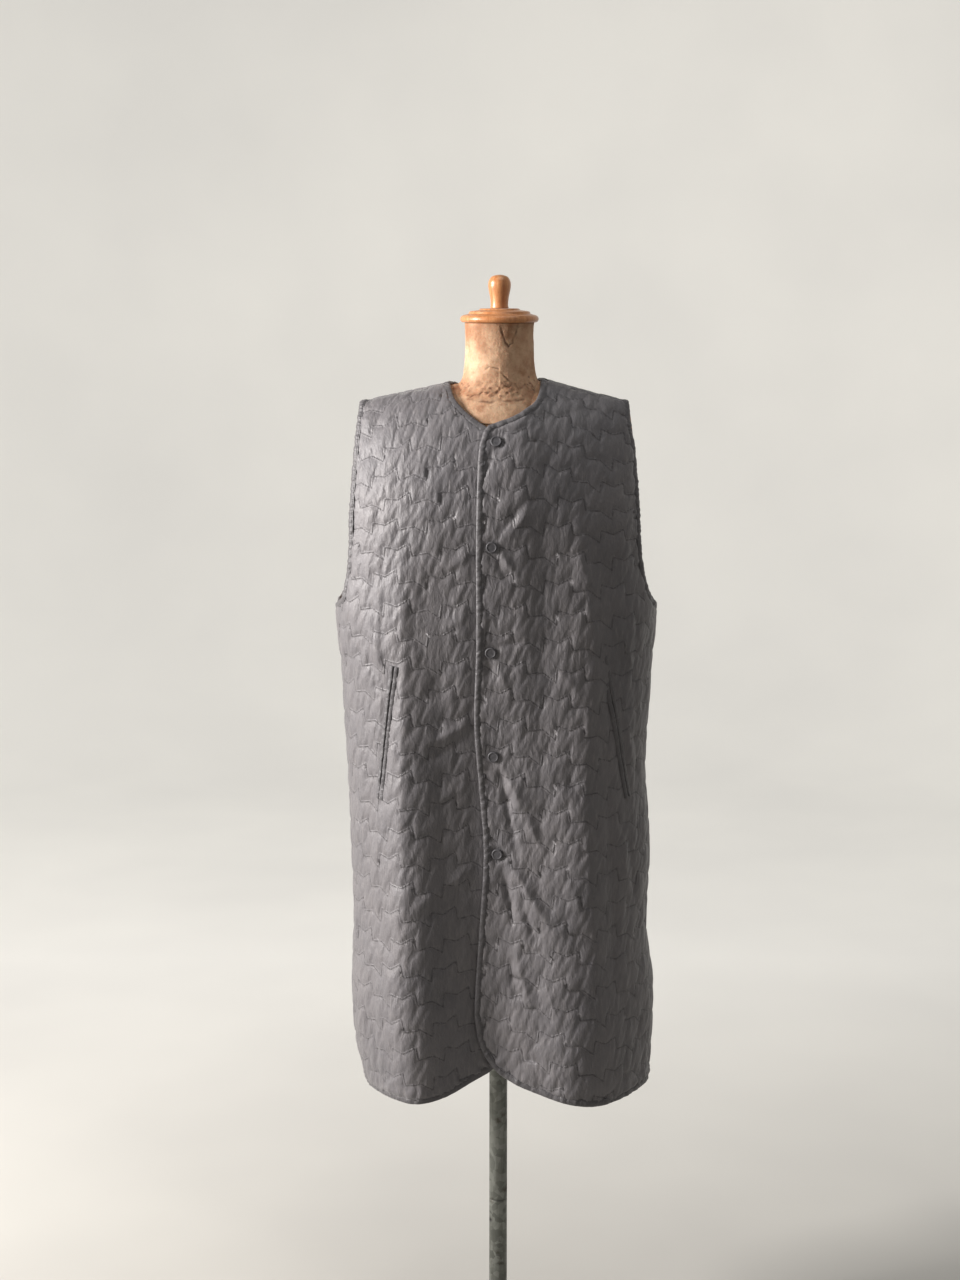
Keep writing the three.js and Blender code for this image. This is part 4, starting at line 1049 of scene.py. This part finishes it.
class Surface:
    """A material made of nodes, with short calls for the ones that are used here."""

    def __init__(self, name, roughness, **sockets):
        self.material = bpy.data.materials.new(name)
        self.material.use_nodes = True
        self.tree = self.material.node_tree
        self.shader = self.tree.nodes["Principled BSDF"]
        self.shader.inputs["Roughness"].default_value = roughness
        for socket, value in sockets.items():
            self.shader.inputs[socket.replace("_", " ")].default_value = value

    def node(self, kind, inputs=None, **settings):
        made = self.tree.nodes.new("ShaderNode" + kind)
        for key, value in settings.items():
            setattr(made, key, value)
        for key, value in (inputs or {}).items():
            self.feed(made.inputs[key], value)
        return made

    def feed(self, socket, value):
        if isinstance(value, bpy.types.NodeSocket):
            self.tree.links.new(value, socket)
        else:
            socket.default_value = value

    def attribute(self, name, output="Vector"):
        return self.node("Attribute", attribute_name=name).outputs[output]

    def position(self):
        return self.node("TexCoord").outputs["Object"]

    def scaled(self, vector, scale):
        return self.node("VectorMath", {0: vector, 1: scale}, operation="MULTIPLY").outputs[0]

    def noise(self, vector, scale, detail=3.0, roughness=0.55):
        inputs = {"Vector": vector, "Scale": scale, "Detail": detail, "Roughness": roughness}
        return self.node("TexNoise", inputs).outputs["Fac"]

    def wave(self, vector, scale, direction, distortion=0.0):
        inputs = {"Vector": vector, "Scale": scale, "Distortion": distortion, "Detail": 1.0}
        return self.node("TexWave", inputs, bands_direction=direction).outputs["Fac"]

    def ramp(self, value, low, high, start=0.0, end=1.0):
        inputs = {"Value": value, "From Min": low, "From Max": high, "To Min": start, "To Max": end}
        return self.node("MapRange", inputs).outputs[0]

    def math(self, operation, a, b=0.0):
        return self.node("Math", {0: a, 1: b}, operation=operation).outputs[0]

    def blend(self, factor, a, b):
        mixer = self.node("Mix", {0: factor}, data_type="RGBA")
        for index, value in ((6, a), (7, b)):
            self.feed(mixer.inputs[index], value if isinstance(value, bpy.types.NodeSocket) else (*value, 1))
        return mixer.outputs[2]

    def stain(self, value, low, high, share, tone, color):
        """A colour laid over a tone where a value rises from low to high."""
        return self.blend(self.ramp(value, low, high, 0.0, share), tone, linear(*color))

    def color(self, value):
        self.feed(self.shader.inputs["Base Color"], value)

    def roughness(self, value):
        self.feed(self.shader.inputs["Roughness"], value)

    def bump(self, height, distance, strength=1.0, below=None):
        inputs = {"Height": height, "Distance": distance, "Strength": strength}
        if below is not None:
            inputs["Normal"] = below
        normal = self.node("Bump", inputs).outputs[0]
        self.feed(self.shader.inputs["Normal"], normal)
        return normal


def woven(name, color, darker, lighter, roughness, thread, rows):
    """Fine plain-weave nylon: threads, slow colour variation, a painted highlight where the relief stands
    high, and painted shade along the stitched rows where rows is true.
    """
    surface = Surface(name, roughness, Sheen_Weight=0.2, Sheen_Roughness=0.4, Specular_IOR_Level=0.6)
    place = surface.attribute("pattern")
    warp = surface.wave(place, 0.314 / thread, "X", 0.4)
    weft = surface.wave(place, 0.314 / thread, "Y", 0.4)
    weave = surface.math("ADD", warp, weft)
    slow = surface.noise(surface.scaled(place, (1.0, 0.6, 0.0)), 14.0, 4.0)
    streak = surface.noise(surface.scaled(place, (5.0, 0.9, 0.0)), 60.0, 3.0)
    tone = surface.blend(surface.ramp(slow, 0.3, 0.7), linear(*darker), linear(*color))
    tone = surface.stain(streak, 0.52, 0.78, 0.55, tone, lighter)
    # Painted highlight: lighter where the pattern's third value, the height of the quilted relief or of a
    # tape's section, is high
    relief = surface.node("SeparateXYZ", {0: place}).outputs[2]
    tone = surface.stain(relief, 0.0026, 0.0048, 0.3, tone, lighter)
    # Painted shade: the cloth darkens towards its stitched rows, as in the shade of their grooves
    if rows:
        gap = surface.attribute("stitch", "Fac")
        line = surface.ramp(gap, 0.3, 1.4, 0.5, 0.0)
        tone = surface.blend(line, tone, linear(*PAINTED_GROOVE_SHADE))
    surface.color(tone)
    worn = surface.noise(place, 90.0, 4.0)
    surface.roughness(surface.ramp(worn, 0.3, 0.7, roughness - 0.06, roughness + 0.07))
    below = surface.bump(weave, 0.00006, 0.5)
    crumple = surface.noise(surface.scaled(place, (2.0, 0.8, 0.0)), 62.0, 3.0, 0.5)
    sharp = surface.math("ABSOLUTE", surface.math("SUBTRACT", crumple, 0.5))
    below = surface.bump(sharp, 0.0042, 0.5, below)
    if rows:
        surface.bump(surface.ramp(gap, 0.0, 1.9), 0.0007, 1.0, below)
    return surface.material


def plaster(name):
    """Aged papier-mache under a rough skim: warm mottling, stains, and brown cracks and pits."""
    surface = Surface(name, 0.82, Specular_IOR_Level=0.25, Subsurface_Weight=0.12, Subsurface_Scale=0.01)
    at = surface.position()
    mottle = surface.noise(at, 22.0, 6.0, 0.62)
    blotch = surface.noise(at, 60.0, 5.0, 0.65)
    fine = surface.noise(at, 260.0, 4.0, 0.6)
    tone = surface.blend(surface.ramp(mottle, 0.36, 0.66), linear(156, 118, 92), linear(202, 173, 146))
    tone = surface.stain(blotch, 0.53, 0.72, 0.65, tone, (146, 104, 76))
    tone = surface.stain(fine, 0.6, 0.74, 0.4, tone, (126, 86, 60))
    tone = surface.blend(surface.attribute("dark_marks", "Fac"), tone, linear(84, 54, 38))
    surface.color(tone)
    below = surface.bump(fine, 0.0009, 0.6)
    surface.bump(blotch, 0.003, 0.5, below)
    return surface.material


def turned_wood(name):
    surface = Surface(name, 0.36, Coat_Weight=0.3, Coat_Roughness=0.22, Specular_IOR_Level=0.45)
    at = surface.position()
    grain = surface.noise(surface.scaled(at, (9.0, 9.0, 0.9)), 26.0, 6.0, 0.6)
    pores = surface.noise(surface.scaled(at, (16.0, 16.0, 1.2)), 70.0, 3.0)
    tone = surface.blend(surface.ramp(grain, 0.34, 0.68), linear(176, 116, 74), linear(204, 152, 106))
    tone = surface.stain(pores, 0.58, 0.72, 0.6, tone, (140, 84, 50))
    surface.color(tone)
    surface.roughness(surface.ramp(grain, 0.3, 0.7, 0.3, 0.46))
    surface.bump(pores, 0.0003, 0.4)
    return surface.material


def galvanised(name):
    surface = Surface(name, 0.4, Metallic=0.85)
    at = surface.position()
    spangle = surface.node("TexVoronoi", {"Vector": at, "Scale": 120.0}).outputs["Color"]
    level = surface.node("SeparateColor", {0: spangle}).outputs[0]
    streak = surface.noise(surface.scaled(at, (6.0, 6.0, 0.5)), 30.0, 5.0)
    stain = surface.noise(at, 34.0, 5.0, 0.65)
    tone = surface.blend(surface.ramp(level, 0.0, 1.0), linear(108, 110, 105), linear(142, 144, 139))
    tone = surface.stain(streak, 0.5, 0.72, 0.6, tone, (98, 98, 92))
    tone = surface.stain(stain, 0.58, 0.7, 0.8, tone, (86, 80, 70))
    # Dark marks of the pole: a line at the ring, painted shade in the notch, and a spot for the pin
    tone = surface.blend(surface.attribute("dark_marks", "Fac"), tone, linear(40, 38, 36))
    surface.color(tone)
    surface.roughness(surface.ramp(stain, 0.35, 0.7, 0.34, 0.62))
    surface.bump(streak, 0.0004, 0.35)
    return surface.material


def cast_iron(name):
    surface = Surface(name, 0.5, Metallic=0.2, Specular_IOR_Level=0.5)
    at = surface.position()
    grain = surface.noise(at, 190.0, 5.0, 0.6)
    dust = surface.noise(at, 16.0, 5.0, 0.6)
    surface.color(surface.stain(dust, 0.42, 0.7, 0.6, linear(40, 40, 41), (84, 82, 78)))
    surface.roughness(surface.ramp(dust, 0.35, 0.7, 0.42, 0.7))
    surface.bump(grain, 0.0008, 0.5)
    return surface.material


def cap_metal(name):
    surface = Surface(name, 0.5, Metallic=0.1, Specular_IOR_Level=0.4)
    at = surface.position()
    grain = surface.noise(at, 900.0, 3.0)
    rub = surface.noise(at, 260.0, 4.0)
    surface.color(surface.stain(rub, 0.45, 0.7, 0.6, linear(84, 83, 86), (108, 107, 110)))
    surface.roughness(surface.ramp(rub, 0.35, 0.7, 0.44, 0.6))
    surface.bump(grain, 0.00012, 0.4)
    return surface.material


def tube_faces(index):
    """Quads of a tube, from the numbers of its points in rings."""
    beyond = np.roll(index, -1, axis=1)
    return np.stack([index[:-1], beyond[:-1], beyond[1:], index[1:]], axis=-1).reshape(-1, 4)


def lathe(profile, sides, step=None):
    """Points and faces of a turned body round the z axis, from a profile of radius and z."""
    profile = np.array(profile, float)
    if step:
        run = run_along(profile)
        wanted = np.unique(np.concatenate([run, np.arange(0, run[-1], step)]))
        profile = np.stack([np.interp(wanted, run, profile[:, k]) for k in range(2)], axis=1)
    angle = 2 * np.pi * np.arange(sides) / sides
    r, z = profile[:, 0][:, None], profile[:, 1][:, None]
    points = np.stack([r * np.sin(angle), -r * np.cos(angle), z + 0 * angle], axis=-1)
    index = np.arange(len(profile) * sides).reshape(len(profile), sides)
    return points, tube_faces(index), index


def closed_piece(name, points, faces, rings, replaces, material, fields=None):
    """A piece whose open ends are closed by a fan to their middle."""
    points = points.reshape(-1, 3)
    ends = np.array([points[ring].mean(axis=0) for ring in rings])
    fans = []
    for k, ring_index in enumerate(rings):
        middle = len(points) + k
        following = np.roll(ring_index, -1)
        fans += [(a, b, middle) for a, b in zip(ring_index, following)]
    mesh = bpy.data.meshes.new(name)
    mesh.from_pydata((np.vstack([points, ends]) * MM).tolist(), [], faces.tolist() + fans)
    for key, values in (fields or {}).items():
        field = mesh.attributes.new(key, "FLOAT", "POINT")
        field.data.foreach_set("value", np.append(values.ravel(), np.zeros(len(rings))).astype(np.float32))
    mesh.polygons.foreach_set("use_smooth", np.ones(len(mesh.polygons), bool))
    fix_normals(mesh)
    return add_piece(name, mesh, replaces, material)


def torso(material):
    """The form's body: closed along the shoulder line, flat at the armholes, with a slightly uneven skin."""
    straight = np.linspace(TORSO[0][0], ROUNDING_Z, TORSO_ROWS["straight"])[:-1]
    steep = np.linspace(np.pi / 2, 0.02, TORSO_ROWS["rounded"])
    rounded = ROUNDING_Z + (TORSO_RIDGE_Z - ROUNDING_Z) * np.cos(steep)
    level = np.concatenate([straight, rounded])[:, None]
    turn = np.pi * (np.arange(TORSO_ROWS["half_round"]) / TORSO_ROWS["half_round"] - 0.5)[None, :]
    front = ring("front", turn, level, TORSO, TORSO_RIDGE_Z)
    back = ring("back", -turn, level, TORSO, TORSO_RIDGE_Z)
    points = np.concatenate([np.stack(half, axis=-1) for half in (front, back)], axis=1)
    points[..., 0] = np.clip(points[..., 0], -ARM_PLATES["right"], ARM_PLATES["left"])
    rows, sides = points.shape[:2]
    index = np.arange(rows * sides).reshape(rows, sides)
    x, z = points[..., 0], points[..., 2]
    skin = TORSO_SKIN["high"] * noise(x, z, TORSO_SKIN["size"], 201)
    skin = skin + TORSO_SKIN["fine_high"] * noise(x, z, TORSO_SKIN["fine_size"], 202) - TORSO_SKIN["sunk"]
    points[..., 1] += skin * np.sign(points[..., 1]) * smooth(*TORSO_SKIN["seam"], np.abs(points[..., 1]))
    ends = [index[0], index[-1]]
    faces = tube_faces(index)
    return closed_piece("form_torso_body", points, faces, ends, ["form_torso"], material)


def neck(material):
    """The neck's plaster skin, with its cracks and the rough pitted band where it meets the body."""
    sides, skin = TURNED_SIDES["neck"], NECK_SKIN
    half_girth = skin["girth"] / 2
    profile = smooth_line(NECK_PROFILE, TURNED_STEP["neck"])
    points, faces, index = lathe(profile, sides)
    points[..., 0] *= 1 + NECK_FLARE * smooth(*NECK_FLARE_Z, points[..., 2])
    rng = np.random.default_rng(211)
    angle = 2 * np.pi * np.arange(sides) / sides
    z = points[..., 2]
    around = (angle * skin["radius"])[None, :] + 0 * z
    x = np.where(points[..., 1] < 0, points[..., 0], OUT_OF_REACH)
    band = np.exp(-(((z - skin["band_z"]) / skin["band_high"]) ** 2))
    rough = 0.5 * noise(around, z, 19.0, 212) + 0.3 * noise(around, z, 7.0, 213)
    crumb = noise(around, z, 4.4, 214) + 0.6 * noise(around, z, 2.2, 215)
    depth = rough * 0.7 + band * (0.9 * crumb + 0.5 * noise(around, z, 9.0, 216))
    dark_marks = np.clip(band * (crumb - 0.75) * 1.6, 0, 0.8)
    for line, wide, deep in NECK_CRACKS:
        shaken_x = x + 0.9 * noise(around, z, 5.0, 217)
        shaken_z = z + 0.9 * noise(around, z, 4.0, 218)
        gap, _ = from_line(shaken_x, shaken_z, np.array(line, float))
        cut = np.exp(-((gap / wide) ** 2)) * np.clip(0.65 + 0.7 * noise(around, z, 6.0, 219), 0, 1)
        depth = depth - deep * cut
        dark_marks = np.maximum(dark_marks, 0.7 * cut)
    for _ in range(skin["pits"]):
        at = rng.uniform(0, 2 * np.pi * skin["radius"])
        height = rng.normal(skin["band_z"], skin["pit_spread"])
        size = rng.uniform(*skin["pit_size"])
        off = np.mod(around - at + half_girth, skin["girth"]) - half_girth
        gap = np.hypot(off, (z - height) * 1.4) / size
        cut = np.exp(-(gap**2))
        depth = depth - skin["pit_deep"] * cut
        dark_marks = np.maximum(dark_marks, 0.8 * cut)
    chipped = inside(x, z, np.array(NECK_CRACKS[0][0]))
    depth = depth + np.where(chipped, -skin["chip_deep"], 0.0)
    out = points * (1, 1, 0) / np.linalg.norm(points[..., :2], axis=-1, keepdims=True)
    points = points + out * (depth * smooth(*skin["under_cap"], z))[..., None]
    ends = [index[0], index[-1]]
    return closed_piece("form_neck_skin", points, faces, ends, [], material, {"dark_marks": dark_marks})


def turned_piece(name, part, profile, material, seat=0.0, dark_marks=None):
    """A turned part of the stand, in place of the solid of the same name."""
    profile = [(max(r, 0.6), z + seat) for r, z in profile]
    points, faces, index = lathe(profile, TURNED_SIDES[part], TURNED_STEP[part])
    fields = {"dark_marks": dark_marks(points)} if dark_marks else None
    ends = [index[0], index[-1]]
    return closed_piece(name, points, faces, ends, ["form_" + part], material, fields)


def pole_dark_marks(points):
    """Dark marks of the pole: a dark line at the ring round it, painted shade in a notch on its front, and a
    dark spot for a pin on its front.
    """
    marks = POLE_MARKS
    x, y, z = points[..., 0], points[..., 1], points[..., 2]
    ring_mark = np.exp(-(((z - marks["ring"]) / marks["ring_high"]) ** 2))
    front = y < 0
    notch_x, notch_z = marks["notch"]
    pin_x, pin_z = marks["pin"]
    notch_off = np.hypot(x - notch_x, (z - notch_z) * marks["notch_tall"])
    notch = np.exp(-(notch_off / marks["notch_wide"]) ** 2) * front
    pin = np.exp(-(np.hypot(x - pin_x, z - pin_z) / marks["pin_wide"]) ** 2) * front
    return np.clip(marks["ring_dark"] * ring_mark + notch + pin, 0, 1)


def snap_caps(material):
    """The five caps: a rounded rim round a shallow dish with a raised middle, on their posts."""
    for number, (s, v) in enumerate(SNAP_PLACES, 1):
        points, faces, index = lathe(SNAP_PROFILE, TURNED_SIDES["snap"])
        foot, top = FRONT.wrap([s, s], [v, v], np.array([0.0, 1.0]) + lap_lift(s))
        turn = Vector(top - foot).normalized().to_track_quat("Z", "Y").to_matrix()
        turned = points.reshape(-1, 3) @ np.array(turn).T + foot / MM
        name = f"snap_{number}"
        closed_piece(name + "_cap", turned, faces, [index[0], index[-1]], [name], material)


# Section of a pocket's two lips with the slit between them
LIPS = [(0.2, 0.3), (12.8, 0.3), (12.95, 1.5), (12.4, 2.1), (10.8, 2.6), (8.6, 2.8), (7.6, 2.6), (7.2, 1.9),
        (6.95, 1.0), (6.05, 1.0), (5.8, 1.9), (5.4, 2.6), (4.4, 2.8), (2.2, 2.6), (0.6, 2.1), (0.05, 1.5)]
LIPS_MIDDLE = 6.5


def pocket(side, material):
    """The lips of one slanted pocket."""
    top, bottom = [FRONT.pattern(x, z) for x, z in POCKETS[side]]
    along = (bottom - top) / np.linalg.norm(bottom - top)
    across = np.array([-along[1], along[0]])
    start, end = top - across * LIPS_MIDDLE, bottom - across * LIPS_MIDDLE
    count = int(np.linalg.norm(end - start) / TAPE_STEP)
    line = start + (end - start) * np.linspace(0, 1, count)[:, None]
    node = "pocket_welt_" + side
    mesh = tape_mesh(node + "_lips", [("front", line, 1, along, along, no_lift, 0.0)], seed=101, section=LIPS)
    return add_piece(node + "_lips", mesh, [node], material)


def pocket_gap(s, v):
    """Distance from the nearer pocket's slit."""
    gaps = []
    for side in POCKETS:
        ends = [FRONT.pattern(x, z) for x, z in POCKETS[side]]
        gaps.append(from_line(s, v, np.array(ends))[0])
    return np.minimum(*gaps)


def stitches(name, face, low_s, high_s, outline, bound, bottom, lift):
    """Short thread stitches along the quilted rows, a little proud of the cloth."""
    wall = WALLS[face]
    centres, ends = [], []
    for line in stitch_lines(TILT[name], low_s, high_s, 0, bottom):
        length = run_along(line)
        run = np.arange(0, length[-1], STITCH["pitch"])
        for shift, store in ((0.0, centres), (0.4, ends)):
            store.append(np.stack([np.interp(run + shift, length, line[:, k]) for k in range(2)], axis=1))
    centres, ends = np.vstack(centres), np.vstack(ends)
    s, v = centres[:, 0], centres[:, 1]
    keep = (v > STITCH["from_top"]) & (v < bottom) & inside(s, v, outline)
    clear = STITCH["from_seam"]
    keep &= (s > wall.seam("right", v) + clear) & (s < wall.seam("left", v) - clear)
    edge_gap, edge_run = edge_distance(s, v, bound)
    keep &= edge_gap > TAPE_WIDE + 1
    if name == "front_right":
        keep &= s < LAP_PRESSED["to"]
    centres, ends, s, v = centres[keep], ends[keep], s[keep], v[keep]
    edge_gap, edge_run = edge_gap[keep], edge_run[keep]
    along = (ends - centres) / np.linalg.norm(ends - centres, axis=1, keepdims=True)
    both, outside = drape(face, s, v)
    sewn = STITCHED + outside + edge_gathers(edge_gap, edge_run, v, wall)
    height = np.maximum(sewn, INNER_FACE + both + THINNEST) + lift(s)
    across = np.stack([-along[:, 1], along[:, 0]], axis=1)
    half, wide = STITCH["long"] / 2, STITCH["wide"] / 2
    shape = [(-half, 0, -0.15), (-half * 0.5, wide, 0.1), (-half * 0.5, -wide, 0.1), (half * 0.5, wide, 0.1),
             (half * 0.5, -wide, 0.1), (half, 0, -0.15), (0, 0, STITCH["proud"]), (0, 0, -0.3)]
    points = []
    for a, b, up in shape:
        place = centres + along * a + across * b
        points.append(wall.wrap(place[:, 0], place[:, 1], height + up))
    points = np.stack(points, axis=1)
    one = np.array([(0, 6, 1), (0, 2, 6), (1, 6, 3), (2, 4, 6), (3, 6, 5), (4, 5, 6),
                    (0, 1, 7), (0, 7, 2), (1, 3, 7), (2, 7, 4), (3, 5, 7), (4, 7, 5)])
    faces = (one[None] + 8 * np.arange(len(points))[:, None, None]).reshape(-1, 3)
    mesh = mesh_from(name + "_stitches", points.reshape(-1, 3), faces)
    return add_piece(name + "_stitches", mesh, [], YARN)


def thread(name):
    surface = Surface(name, 0.65, Sheen_Weight=0.1, Specular_IOR_Level=0.3)
    strand = surface.noise(surface.position(), 2200.0, 2.0)
    tone = surface.ramp(strand, 0.35, 0.65)
    surface.color(surface.blend(tone, linear(72, 70, 71), linear(96, 93, 93)))
    surface.bump(strand, 0.0001, 0.6)
    return surface.material


def make_camera():
    data = bpy.data.cameras.new("camera")
    data.sensor_fit = "VERTICAL"
    data.angle_y = math.radians(CAMERA_FOV)
    data.clip_end = 50
    camera = placed("camera", data)
    camera.location = CAMERA_AT
    camera.rotation_euler = (math.radians(90 - CAMERA_PITCH_DOWN), 0, 0)
    scene = bpy.context.scene
    scene.camera = camera
    scene.view_settings.view_transform = "Standard"
    scene.view_settings.gamma = VIEW_GAMMA


def make_stage():
    """A pale round floor that turns up into a wall, which behind the object glows like a lit room's."""
    flat, turn, sides = STAGE["radius"] - STAGE["turn"], STAGE["turn"], STAGE["sides"]
    profile = [(flat, 0.0)]
    for angle in np.radians(np.arange(9, 91, 9)):
        profile.append((flat + turn * math.sin(angle), turn * (1 - math.cos(angle))))
    profile.append((STAGE["radius"], STAGE["high"]))
    points, faces, _ = lathe(profile, sides)
    points = np.vstack([points.reshape(-1, 3), (0, 0, 0)]) - (0, 0, STAGE["below"])
    middle = len(points) - 1
    fan = [(middle, k, (k + 1) % sides) for k in range(sides)]
    mesh = bpy.data.meshes.new("floor")
    mesh.from_pydata(points.tolist(), [], fan + faces[:, ::-1].tolist())
    mesh.polygons.foreach_set("use_smooth", np.ones(len(mesh.polygons), bool))
    surface = Surface("floor", 0.95, Specular_IOR_Level=0.1)
    cloudy = surface.noise(surface.position(), 0.9, 3.0)
    cloudy = surface.ramp(cloudy, 0.35, 0.65)
    surface.color(surface.blend(cloudy, linear(*STAGE["darker"]), linear(*STAGE["lighter"])))
    surface.feed(surface.shader.inputs["Emission Color"], STAGE["glow_color"])
    depth = surface.node("SeparateXYZ", {0: surface.position()}).outputs[1]
    glow = surface.ramp(depth, STAGE["glow_from"], STAGE["glow_to"], STAGE["dim"], STAGE["bright"])
    surface.feed(surface.shader.inputs["Emission Strength"], glow)
    surface.material.cycles.emission_sampling = "NONE"
    mesh.materials.append(surface.material)
    placed("floor", mesh)


def add_light(name, place, aim, size, power, color):
    data = bpy.data.lights.new(name, "AREA")
    data.shape = "RECTANGLE"
    data.size, data.size_y = size
    data.energy = power
    data.color = color
    light = placed(name, data)
    light.location = place
    light.rotation_euler = (Vector(aim) - Vector(place)).to_track_quat("-Z", "Y").to_euler()


def make_lights():
    for name, light in LIGHTS.items():
        add_light(name, **light)
    world = bpy.data.worlds.new("world")
    bpy.context.scene.world = world
    world.use_nodes = True
    background = world.node_tree.nodes["Background"]
    background.inputs["Color"].default_value = WORLD_COLOR
    background.inputs["Strength"].default_value = WORLD_GLOW


make_camera()
make_stage()
make_lights()

YARN = thread("thread")
cloth = woven("quilted_nylon", (111, 108, 110), (100, 98, 101), (128, 124, 124), 0.5, 0.0005, True)
# The tape is the cloth's nylon drawn darker: painted shade that tones down its raised edge where it faces the
# key light
tape = woven("edge_tape_nylon", (92, 90, 92), (84, 82, 85), (104, 101, 102), 0.5, 0.0005, False)
panels = {side: front_panel(side, cloth) for side in ("left", "right")}
panels["back"] = back_panel(cloth)
for side in ("left", "right"):
    front_binding(side, tape)
back_bindings(tape)
for side in ("left", "right"):
    armhole_binding(side, tape)
for side in ("left", "right"):
    pocket(side, tape)
snap_caps(cap_metal("snap_cap"))

skin = plaster("aged_plaster")
torso(skin)
neck(skin)
wood = turned_wood("turned_wood")
knob = smooth_line(KNOB_PROFILE, KNOB_LINE_STEP)
tube = galvanised("galvanised_tube")
iron = cast_iron("painted_iron")
turned_piece("form_neck_cap_turned", "neck_cap", CAP_PROFILE, wood, seat=CAP_SEAT_Z)
turned_piece("form_knob_turned", "knob", knob, wood, seat=KNOB_SEAT_Z)
turned_piece("form_pole_tube", "pole", POLE_PROFILE, tube, dark_marks=pole_dark_marks)
turned_piece("form_base_cast", "base", BASE_PROFILE, iron)
